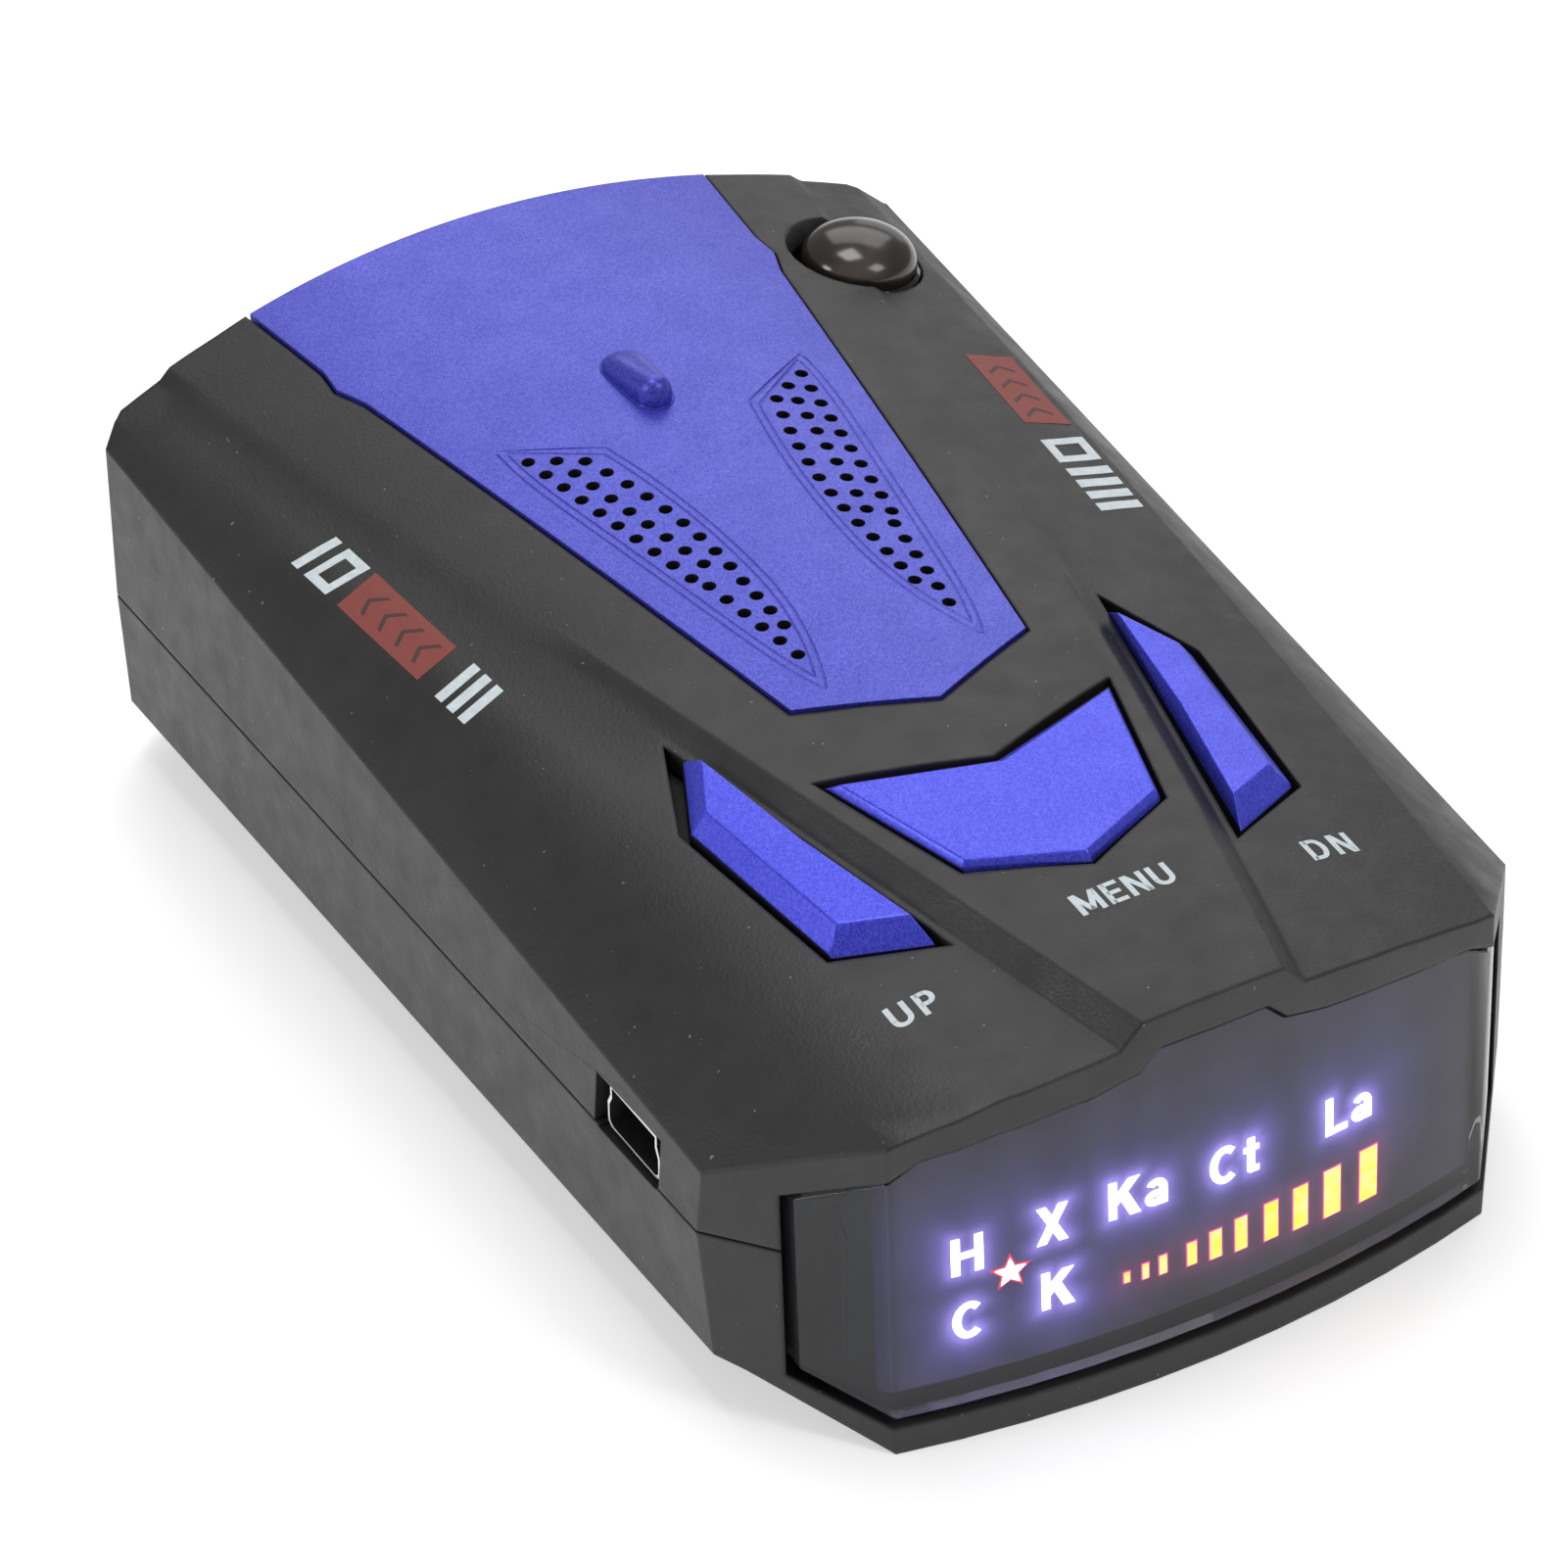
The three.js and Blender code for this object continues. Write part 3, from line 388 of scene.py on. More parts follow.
def moulded_plastic(name, colour, roughness, grain=3.2, depth=0.016, rounding=0):
    """Moulded plastic with a fine spark-eroded grain, slight colour drift, dust and a few light scuffs.

    grain is in cells per mm, depth in mm. A rounding in mm softens the look of the edges.
    """
    tree, shader = new_material(name)
    drift = texture(tree, "ShaderNodeTexNoise", 0.09, 3)
    tint = ramp(tree, drift.outputs["Fac"], [(0.3, scaled(colour, 0.88)), (0.7, scaled(colour, 1.12))])
    dust = texture(tree, "ShaderNodeTexNoise", 2.1, 1)
    mix = tree.nodes.new("ShaderNodeMixRGB")
    tree.links.new(spread(tree, dust.outputs["Fac"], 0, 0.35, 0.785, 0.81), mix.inputs["Fac"])
    tree.links.new(tint, mix.inputs["Color1"])
    mix.inputs["Color2"].default_value = (0.5, 0.49, 0.46, 1)
    tree.links.new(mix.outputs["Color"], shader.inputs["Base Color"])
    scuffs = texture(tree, "ShaderNodeTexNoise", 0.35, 4, 0.6)
    roughness_by(tree, shader, scuffs.outputs["Fac"], roughness - 0.06, roughness + 0.07)
    coarse = texture(tree, "ShaderNodeTexNoise", grain * 0.4, 2)
    edge = rounded_normal(tree, rounding) if rounding else None
    first = bump(tree, shader, coarse.outputs["Fac"], depth * 1.2, 0.7, edge)
    fine = texture(tree, "ShaderNodeTexVoronoi", grain)
    bump(tree, shader, fine.outputs["Distance"], depth, 0.8, first)


PAINT_ROUGHNESS = 0.36
PAINT_ROUNDING = 0.12


def metallic_paint(name, colour):
    """Satin metallic paint: coarse and fine flakes over a coloured base, under a thin clear coat."""
    tree, shader = new_material(name)
    flakes = texture(tree, "ShaderNodeTexVoronoi", 9.0)
    glint = tuple(min(1.0, c * 1.1 + 0.05) for c in colour)
    stops = [(0.0, scaled(colour, 0.86)), (0.8, colour), (1.0, glint)]
    flake_tint = ramp(tree, flakes.outputs["Color"], stops)
    drift = texture(tree, "ShaderNodeTexNoise", 0.06, 3)
    shade = ramp(tree, drift.outputs["Fac"], [(0.3, (0.86, 0.87, 0.9)), (0.7, (1, 1, 1))])
    tree.links.new(multiplied(tree, flake_tint, shade), shader.inputs["Base Color"])
    shader.inputs["Metallic"].default_value = 0.42
    haze = texture(tree, "ShaderNodeTexNoise", 0.3, 3)
    roughness_by(tree, shader, haze.outputs["Fac"], PAINT_ROUGHNESS - 0.05, PAINT_ROUGHNESS + 0.06)
    shader.inputs["Coat Weight"].default_value = 0.25
    shader.inputs["Coat Roughness"].default_value = 0.28
    orange_peel = texture(tree, "ShaderNodeTexNoise", 1.1, 2)
    edge = rounded_normal(tree, PAINT_ROUNDING)
    first = bump(tree, shader, orange_peel.outputs["Fac"], 0.008, 0.5, edge)
    bump(tree, shader, flakes.outputs["Distance"], 0.004, 0.5, first)


def clear_plastic(name, colour, roughness=0.03, ior=1.49, uneven=0.012, clarity=1.0):
    """Clear or smoked acrylic with very fine polishing marks. Less than full clarity clouds it."""
    tree, shader = new_material(name)
    shader.inputs["Transmission Weight"].default_value = clarity
    shader.inputs["IOR"].default_value = ior
    cloud = texture(tree, "ShaderNodeTexNoise", 0.12, 3)
    stops = [(0.3, scaled(colour, 0.96)), (0.7, scaled(colour, 1.04))]
    colour_by(tree, shader, cloud.outputs["Fac"], stops)
    marks = texture(tree, "ShaderNodeTexNoise", 0.25, 2, 0.5)
    roughness_by(tree, shader, marks.outputs["Fac"], roughness, roughness + uneven)


def metal(name, colour, roughness, stretch=(1, 1, 1), scale=2.0, depth=0.006):
    """Metal with brushed or cast marks: stretch draws the marks out along an axis."""
    tree, shader = new_material(name)
    shader.inputs["Metallic"].default_value = 1.0
    marks = texture(tree, "ShaderNodeTexNoise", scale, 5, 0.6, stretch)
    stops = [(0.3, scaled(colour, 0.85)), (0.7, scaled(colour, 1.05))]
    colour_by(tree, shader, marks.outputs["Fac"], stops)
    roughness_by(tree, shader, marks.outputs["Fac"], roughness - 0.06, roughness + 0.1)
    bump(tree, shader, marks.outputs["Fac"], depth, 0.6)


def circuit_board(name):
    """Green solder mask over copper tracks."""
    tree, shader = new_material(name)
    tracks = texture(tree, "ShaderNodeTexBrick", 0.32)
    tracks.inputs["Mortar Size"].default_value = 0.05
    tracks.inputs["Color1"].default_value = (0.012, 0.11, 0.04, 1)
    tracks.inputs["Color2"].default_value = (0.018, 0.14, 0.05, 1)
    tracks.inputs["Mortar"].default_value = (0.05, 0.24, 0.09, 1)
    tree.links.new(tracks.outputs["Color"], shader.inputs["Base Color"])
    sheen = texture(tree, "ShaderNodeTexNoise", 0.7, 3)
    roughness_by(tree, shader, sheen.outputs["Fac"], 0.25, 0.4)
    bump(tree, shader, tracks.outputs["Fac"], 0.03, 0.5)


def speaker_paper(name):
    """Dark pressed paper with fibres."""
    tree, shader = new_material(name)
    fibres = texture(tree, "ShaderNodeTexNoise", 2.4, 6, 0.7, (1, 0.3, 1))
    colour_by(tree, shader, fibres.outputs["Fac"], [(0.3, (0.012,) * 3), (0.7, (0.05,) * 3)])
    roughness_by(tree, shader, fibres.outputs["Fac"], 0.75, 0.95)
    bump(tree, shader, fibres.outputs["Fac"], 0.05, 0.8)


def printed_ink(name, colour):
    """Screen-printed ink: slightly uneven cover and a soft sheen."""
    tree, shader = new_material(name)
    cover = texture(tree, "ShaderNodeTexNoise", 1.6, 4, 0.6)
    colour_by(tree, shader, cover.outputs["Fac"], [(0.3, scaled(colour, 0.84)), (0.6, colour)])
    roughness_by(tree, shader, cover.outputs["Fac"], 0.42, 0.58)
    bump(tree, shader, cover.outputs["Fac"], 0.01, 0.5)


def glowing(name, core, strength, edge=None):
    """A lit sign: a bright core with a slight mottle, as light through a printed film."""
    tree, shader = new_material(name)
    mottle = texture(tree, "ShaderNodeTexNoise", 0.9, 2)
    stops = [(0.3, edge or scaled(core, 0.85)), (0.62, core)]
    colour_by(tree, shader, mottle.outputs["Fac"], stops, "Emission Color")
    shader.inputs["Emission Strength"].default_value = strength
    shader.inputs["Base Color"].default_value = (0.02, 0.02, 0.02, 1)


def glowing_film(name, strength):
    """Black printed film. Light from the signs bleeds through it, by the mesh's glow colour."""
    tree, shader = new_material(name)
    shader.inputs["Base Color"].default_value = (0.006, 0.006, 0.008, 1)
    grain = texture(tree, "ShaderNodeTexNoise", 0.22, 2, 0.5)
    roughness_by(tree, shader, grain.outputs["Fac"], 0.4, 0.5)
    glow = tree.nodes.new("ShaderNodeVertexColor")
    glow.layer_name = "glow"
    shade = ramp(tree, grain.outputs["Fac"], [(0.35, (0.35, 0.35, 0.35)), (0.6, (1, 1, 1))])
    tree.links.new(multiplied(tree, glow.outputs["Color"], shade), shader.inputs["Emission Color"])
    shader.inputs["Emission Strength"].default_value = strength


BLACK = (0.0225, 0.0215, 0.021)
BLUE_VIOLET = (0.037, 0.044, 0.5)
BUTTON_VIOLET = (0.042, 0.052, 0.74)

moulded_plastic("case_plastic", BLACK, 0.45, rounding=0.45)
# Near-black plastic, darker than the case. Under the paint of the caps and the cover it stands for bare
# plastic, drawn this dark as painted shade in the gaps round the caps and in the grille's holes. In the
# opening round the USB socket and inside the socket's metal shell it is pure painted shade.
moulded_plastic("bare_plastic_and_painted_shade", (0.006, 0.006, 0.007), 0.7)
metallic_paint("cover_paint", BLUE_VIOLET)
metallic_paint("button_paint", BUTTON_VIOLET)
clear_plastic("smoked_window", (0.27, 0.27, 0.29), 0.0, 1.32, 0.003, clarity=0.9)
clear_plastic("dome_lens", (0.07, 0.055, 0.047), 0.17, 1.62, clarity=0.72)
clear_plastic("rear_lens", (0.25, 0.02, 0.02), 0.04)
clear_plastic("clear_guide", (0.92, 0.94, 0.95), 0.02)
glowing_film("icon_film", 9.0)
glowing("sign_white", (0.86, 0.84, 1.0), 22.0, (0.6, 0.55, 1.0))
glowing("sign_red", (0.75, 0.03, 0.06), 6.0)
glowing("bar_yellow", (1.0, 0.5, 0.03), 11.0, (1.0, 0.68, 0.16))
glowing("bar_rim", (0.9, 0.05, 0.3), 7.0)
printed_ink("ink_white", (0.72, 0.80, 0.84))
printed_ink("ink_red", (0.27, 0.045, 0.035))
printed_ink("ink_dark", (0.06, 0.022, 0.02))
moulded_plastic("white_plastic", (0.78, 0.78, 0.75), 0.5, 2.0, 0.006)
moulded_plastic("black_gloss", (0.006, 0.006, 0.007), 0.14, 1.5, 0.002)
metal("bright_metal", (0.80, 0.80, 0.82), 0.2, (1, 0.15, 1))
metal("gold_contact", (0.9, 0.62, 0.22), 0.22, (0.2, 1, 1))
moulded_plastic("chip_black", (0.012, 0.012, 0.013), 0.55, 4.0, 0.008)
circuit_board("board_green")
moulded_plastic("led_resin", (0.85, 0.83, 0.7), 0.25, 1.5, 0.002)
moulded_plastic("switch_black", (0.016, 0.016, 0.017), 0.5, 3.0, 0.008)
moulded_plastic("plunger_red", (0.42, 0.03, 0.025), 0.35, 2.0, 0.004)
metal("screw_steel", (0.58, 0.58, 0.6), 0.28, (1, 1, 0.2))
metal("cast_metal", (0.6, 0.61, 0.63), 0.45, (1, 1, 1), 1.3, 0.03)
metal("speaker_steel", (0.42, 0.43, 0.45), 0.35)
speaker_paper("speaker_paper")
metal("magnet_ferrite", (0.09, 0.09, 0.1), 0.6, (1, 1, 1), 1.8, 0.02)
moulded_plastic("capacitor_sleeve", (0.02, 0.035, 0.12), 0.3, 1.5, 0.003)
moulded_plastic("label_film", (0.5, 0.51, 0.53), 0.38, 1.2, 0.003)


def wear(obj, slot):
    """Gives a new piece the material of a slot of the record."""
    obj.data.materials.clear()
    obj.data.materials.append(MATERIALS[slot])
    return obj


def finish_cad_nodes():
    """Every CAD node takes the material of its slot."""
    for entry in frame["record"]["subparts"]:
        data = NODES[entry["node"]].data
        data.materials.clear()
        data.materials.append(MATERIALS[entry["material_slot"]])


# ---------- Case ----------

# The outlines below are in mm, with y from the middle of the case. The frame's own y is larger by SHIFT_Y.
SHIFT_Y = 4.139
# How far below the case's top the paint on the button caps ends
PAINT_DROP = 0.2
# Height in the middle, and slope and curve along y, of the sloped sides and of the raised middle strip
SIDE_TOP = (33.15, 0.056, -0.000315)
CENTRE_TOP = (34.1, 0.045, -0.00029)
CROWN_ACROSS = -0.0047
# How far the opening in the wall reaches past the USB socket's shell
OPENING_FRONT = 1.0
OPENING_REAR = 1.4
OPENING_BELOW = 1.2
OPENING_ABOVE = 1.0
OPENING_OUTWARD = 0.9


def top_height(top, x, y):
    """Height of one of the case's crowned tops, in mm."""
    level, slope, curve = top
    return level + slope * y + curve * y * y + CROWN_ACROSS * x * x


def in_socket_opening(face):
    """Whether a face of a shell lines the opening around the USB socket, where shade is painted near black.
    """
    low, high = (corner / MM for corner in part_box("usb_shell"))
    x, y, z = face.center / MM
    along = low.y - OPENING_FRONT < y < high.y + OPENING_REAR
    beside = low.z - OPENING_BELOW < z < high.z + OPENING_ABOVE
    inward = low.x - OPENING_OUTWARD < x < high.x
    return along and beside and inward and face.normal.x > -0.5


def build_shells():
    upper = clean_copy("upper_shell", "upper_shell_skin")
    lower = clean_copy("lower_shell", "lower_shell_skin")
    for shell, node in ((upper, "upper_shell"), (lower, "lower_shell")):
        wear(shell, "case_plastic")
        shell.data.materials.append(MATERIALS["bare_plastic_and_painted_shade"])
        # The faces lining the opening round the USB socket are painted near black as shade. The case itself
        # is the same black plastic there.
        for face in shell.data.polygons:
            if in_socket_opening(face):
                face.material_index = 1
        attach(shell, CASE)
        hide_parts(node)
    return upper


def build_buttons():
    """The three painted caps. Below the case's top they are bare plastic, drawn near black as painted shade
    in the gap round them.
    """
    for node, body in KEYS.items():
        top = CENTRE_TOP if node == "menu_button" else SIDE_TOP

        def above_case(point):
            return point.z > top_height(top, point.x, point.y - SHIFT_Y) - PAINT_DROP

        cap = rounded_copy(node, node + "_skin", radius=0.16, sharper_than=14, above=above_case)
        wear(cap, "button_paint")
        cap.data.materials.append(MATERIALS["bare_plastic_and_painted_shade"])
        # Faces below the paint line take the near-black material: bare plastic, darkened as painted shade
        # in the gap round the cap.
        for face in cap.data.polygons:
            face.material_index = 0 if above_case(face.center / MM) else 1
        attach(cap, body)
        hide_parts(node)


# ---------- Cover ----------

# Right-hand half of the cover's outline, from its front tip to its rear corner
COVER_OUTLINE = [(0, -20.6), (9.8, -16.4), (18.2, 32.8), (19.2, 35.6), (19.0, 38.2), (20.19, 48.46)]
COVER_REAR_Y = 49.81
COVER_REAR_STEPS = 24
COVER_THICKNESS = 1.2
COVER_CELL = 1.0
# Half-width, front and rear of the slab that the cover is cut from, and of the part its crown is fitted to
COVER_SLAB = (22, -23, 51)
CROWN_FIT = (17, -12, 46)
CROWN_COLUMNS = 15
CROWN_ROWS = 31
CROWN_ROUNDS = 3
CROWN_OUTLIER = 0.12
HOLE_RADIUS = 0.52
HOLE_MARGIN = 0.02
GROOVE_RADIUS = 0.13
GROOVE_RAISED = 0.07
LEAF_CORNER = (13.2, 21.3)
LEAF_TIP = (6.6, -15.8)
LEAF_BULGE = 0.8
LEAF_INNER_REAR_Y = 17.0
LEAF_WAIST = (3.75, -2.5)
LEAF_FRONT_CURVE = 0.0155
LEAF_REAR_CURVE = 0.0064
LEAF_MIDDLE = (7.6, 2.0)
LEAF_LINE_GAP = 0.62
LEAF_STEPS = 60
BUMP_FRONT = 19.1
BUMP_LENGTH = 7.9
BUMP_HALF_WIDTH = 1.75
BUMP_HEIGHT = 2.3
BUMP_FRONT_ROUND = 0.2
BUMP_REAR_ROUND = 0.24
BUMP_SLOPE = 0.62
BUMP_TIP_WIDTH = 0.76
BUMP_FULL_WIDTH_AT = 0.6
BUMP_STATIONS = 26
BUMP_ARC = 16
BUMP_SINK = 0.02
BUMP_DEPTH = 0.7
FOOT_STATIONS = 20
FOOT_MARGIN = 0.06


def fit_crown(tree, half, front, rear):
    """The smooth crowned surface, as height over x and y in mm, that best fits a faceted one."""
    rows, heights = [], []
    for x in np.linspace(-half, half, CROWN_COLUMNS):
        for y in np.linspace(front, rear, CROWN_ROWS):
            z = drop_onto(tree, x * MM, (y + SHIFT_Y) * MM)
            if z is not None:
                rows.append([1, y, y * y, x * x])
                heights.append(z / MM)
    rows, heights = np.array(rows), np.array(heights)
    keep = np.ones(len(heights), bool)
    for _ in range(CROWN_ROUNDS):
        factors = np.linalg.lstsq(rows[keep], heights[keep], rcond=None)[0]
        keep = np.abs(rows @ factors - heights) < CROWN_OUTLIER
    return lambda x, y: float(np.dot(factors, [1, y, y * y, x * x]))


def prism_object(name, outline, low, high):
    """A closed prism over an outline in mm, from low to high."""
    points = [(x * MM, (y + SHIFT_Y) * MM, z * MM) for z in (low, high) for x, y in outline]
    return with_outward_faces(mesh_object(name, points, prism_faces(len(outline))))


def slab_object(name, top_at, thickness, half, front, rear, cell):
    """A closed slab with a finely divided top and underside that follow top_at(x, y)."""
    xs = np.linspace(-half, half, int(2 * half / cell) + 1)
    ys = np.linspace(front, rear, int((rear - front) / cell) + 1)
    points = []
    for drop in (0, thickness):
        points += [(x * MM, (y + SHIFT_Y) * MM, (top_at(x, y) - drop) * MM) for y in ys for x in xs]
    return with_outward_faces(mesh_object(name, points, slab_faces(len(xs), len(ys))))


GROOVE_SIDES = 8


def swept_loop(bm, path, radius):
    """Adds a closed tube of the given radius, in metres, round a closed path of points."""
    rings = []
    count = len(path)
    for i, point in enumerate(path):
        along = (path[(i + 1) % count] - path[i - 1]).normalized()
        across = along.cross(Vector((0, 0, 1))).normalized()
        up = across.cross(along)
        ring = []
        for k in range(GROOVE_SIDES):
            angle = 2 * math.pi * k / GROOVE_SIDES
            ring.append(bm.verts.new(point + (across * math.cos(angle) + up * math.sin(angle)) * radius))
        rings.append(ring)
    for i, ring in enumerate(rings):
        following = rings[(i + 1) % count]
        for k in range(GROOVE_SIDES):
            after = (k + 1) % GROOVE_SIDES
            bm.faces.new((ring[k], ring[after], following[after], following[k]))


def leaf_inner_x(y):
    """The curved inner edge of a grille's leaf outline."""
    waist_x, waist_y = LEAF_WAIST
    curve = LEAF_REAR_CURVE if y > waist_y else LEAF_FRONT_CURVE
    return waist_x + curve * (y - waist_y) ** 2


def leaf_loop(side, inset):
    """One engraved line round a grille: a bulging outer edge, a blunt tip and a curved inner edge."""
    corner, tip = Vector(LEAF_CORNER), Vector(LEAF_TIP)
    points = []
    for t in np.linspace(0, 1, LEAF_STEPS):
        bulge = LEAF_BULGE * (1 - (2 * t - 1) ** 6)
        points.append(corner.lerp(tip, t) + Vector((bulge, 0)))
    inner_ys = np.linspace(tip.y + 0.2, LEAF_INNER_REAR_Y, LEAF_STEPS)
    points += [Vector((leaf_inner_x(y), y)) for y in inner_ys]
    middle = Vector(LEAF_MIDDLE)
    loop = []
    for i, point in enumerate(points):
        along = (points[(i + 1) % len(points)] - points[i - 1]).normalized()
        inward = Vector((-along.y, along.x))
        if inward.dot(middle - point) < 0:
            inward = -inward
        moved = point + inward * inset
        if min((moved - other).length for other in points) > 0.95 * inset - 0.01:
            loop.append((side * moved.x, moved.y))
    return loop


def grille_holes(side):
    """Centres of a grille's holes: three columns at the rear, then two, then one."""
    # Each column's number of holes, first y, pitch, and x as a function of y
    columns = [
        (10, 18.77, 2.08, lambda y: 8.48 + 0.177 * y),
        (9, 17.65, 2.08, lambda y: 6.72 + 0.185 * y),
        (9, 16.4, 2.08, lambda y: 5.42 + 0.0105 * y * y),
        (6, -1.4, 2.02, lambda y: 8.06 + 0.15 * y),
        (4, -2.24, 1.96, lambda y: 5.5),
    ]
    return [(side * x_at(y0 - p * i), y0 - p * i) for n, y0, p, x_at in columns for i in range(n)]


def bump_section(s):
    """Half-width and height of the raised mark, in mm, at s from its front end, 0, to its rear end, 1."""
    front = math.sqrt(max(0, 1 - (1 - min(1, s / BUMP_FRONT_ROUND)) ** 2))
    rear = math.sqrt(max(0, 1 - (max(0, s - 1 + BUMP_REAR_ROUND) / BUMP_REAR_ROUND) ** 2))
    slope = 1 - BUMP_SLOPE * s
    widening = BUMP_TIP_WIDTH + (1 - BUMP_TIP_WIDTH) * min(1, s / BUMP_FULL_WIDTH_AT)
    return BUMP_HALF_WIDTH * front * rear * widening, BUMP_HEIGHT * front * rear * slope


def bump_stations(count, end_gap):
    """Places along the raised mark, closer together near its ends."""
    return [0.5 - (0.5 - end_gap) * math.cos(math.pi * i / count) for i in range(count + 1)]


def bump_object(crown):
    """The raised mark on the cover: a long drop, high in front and lower behind."""
    bm = bmesh.new()
    rings = []
    for s in bump_stations(BUMP_STATIONS, 0.0002):
        half, height = bump_section(s)
        y = BUMP_FRONT + BUMP_LENGTH * s
        ring = []
        for k in range(BUMP_ARC + 1):
            angle = math.pi * k / BUMP_ARC
            across = math.copysign(abs(math.cos(angle)) ** 0.8, math.cos(angle))
            x = half * across
            ring.append((x, y, crown(x, y) + height * math.sin(angle) ** 0.9 - BUMP_SINK))
        ring += [(-half, y, crown(0, y) - BUMP_DEPTH), (half, y, crown(0, y) - BUMP_DEPTH)]
        rings.append([bm.verts.new((px * MM, (py + SHIFT_Y) * MM, pz * MM)) for px, py, pz in ring])
    for ring, following in zip(rings, rings[1:]):
        for k in range(len(ring)):
            after = (k + 1) % len(ring)
            bm.faces.new((ring[k], ring[after], following[after], following[k]))
    bm.faces.new(rings[0])
    bm.faces.new(rings[-1])
    return object_from_bmesh("cover_bump", bm)


def bump_foot():
    """The outline of the raised mark where it meets the cover."""
    stations = bump_stations(FOOT_STATIONS, 0.002)
    right = [(bump_section(s)[0] + FOOT_MARGIN, BUMP_FRONT + BUMP_LENGTH * s) for s in stations]
    return right + [(-x, y) for x, y in right[::-1]]


def cut(obj, tool, operation="DIFFERENCE"):
    """Cuts or joins a solid with another, which is then deleted."""
    modifier = obj.modifiers.new("cut", "BOOLEAN")
    modifier.operation = operation
    modifier.object = tool
    modifier.solver = "MANIFOLD"
    apply_modifiers(obj)
    bpy.data.objects.remove(tool)
    return obj


def over_cover(outline, crown):
    return [Vector((x, y + SHIFT_Y, crown(x, y) + GROOVE_RAISED)) * MM for x, y in outline]


def cover_tools(crown):
    """One solid of everything that is cut from the cover: round holes and the engraved lines."""
    bm = bmesh.new()
    for side in (-1, 1):
        for x, y in grille_holes(side):
            place = Matrix.Translation((x * MM, (y + SHIFT_Y) * MM, crown(x, y) * MM))
            bmesh.ops.create_cone(
                bm,
                cap_ends=True,
                segments=24,
                radius1=HOLE_RADIUS * MM,
                radius2=HOLE_RADIUS * MM,
                depth=6 * MM,
                matrix=place,
            )
        for inset in (0, LEAF_LINE_GAP):
            swept_loop(bm, over_cover(leaf_loop(side, inset), crown), GROOVE_RADIUS * MM)
    swept_loop(bm, over_cover(bump_foot(), crown), GROOVE_RADIUS * MM)
    return object_from_bmesh("cover_tools", bm)


def build_cover():
    crown = fit_crown(surface_tree(NODES["top_cover"]), *CROWN_FIT)
    cover = slab_object("top_cover_skin", crown, COVER_THICKNESS, *COVER_SLAB, COVER_CELL)
    left = [(-x, y) for x, y in COVER_OUTLINE[:0:-1]]
    rear_half = COVER_OUTLINE[-1][0]
    rise = COVER_REAR_Y - COVER_OUTLINE[-1][1]
    rear = []
    for i in range(1, COVER_REAR_STEPS):
        x = rear_half * (1 - 2 * i / COVER_REAR_STEPS)
        rear.append((x, COVER_REAR_Y - rise * (x / rear_half) ** 2))
    cut(cover, prism_object("cover_outline", [*COVER_OUTLINE, *rear, *left], 20, 50), "INTERSECT")
    cut(cover, bump_object(crown), "UNION")
    cut(cover, cover_tools(crown))
    weighted_normals(cover, sharp=38)
    wear(cover, "cover_paint")
    cover.data.materials.append(MATERIALS["bare_plastic_and_painted_shade"])
    # The walls of the grille's holes take the near-black material: bare plastic, darkened as painted shade
    # inside the holes.
    holes = near_tree([(x, y, 0) for side in (-1, 1) for x, y in grille_holes(side)])
    for face in cover.data.polygons:
        x, y = face.center.x / MM, face.center.y / MM - SHIFT_Y
        if abs(face.normal.z) < 0.5 and holes.find((x, y, 0))[2] < HOLE_RADIUS + HOLE_MARGIN:
            face.material_index = 1
    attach(cover, CASE)
    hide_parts("top_cover")


# ---------- Printed marks ----------

INK_ABOVE = 0.025
INK_BELOW = 0.05
INK_OVER_INK = 0.01
MARK_CELL = 0.7

# Bold letters on a height of one unit, each a width and a list of four-cornered strokes
STROKE = 0.2
ARM = 0.17


def stem(x, low=0.0, high=1.0):
    return [(x, low), (x + STROKE, low), (x + STROKE, high), (x, high)]


def arm(x0, x1, y, thickness=ARM):
    return [(x0, y), (x1, y), (x1, y + thickness), (x0, y + thickness)]


def slant(x0, x1, y0=0.0, y1=1.0, width=0.23):
    return [(x0, y0), (x0 + width, y0), (x1 + width, y1), (x1, y1)]


def bow(x, y, rx, ry, start, end, pieces=9):
    """Strokes along an arc of an ellipse, from one angle to another in degrees."""
    angles = [math.radians(start + (end - start) * i / pieces) for i in range(pieces + 1)]
    outer = [(x + rx * math.cos(a), y + ry * math.sin(a)) for a in angles]
    inner = [(x + (rx - STROKE) * math.cos(a), y + (ry - ARM) * math.sin(a)) for a in angles]
    return [[inner[i], outer[i], outer[i + 1], inner[i + 1]] for i in range(pieces)]


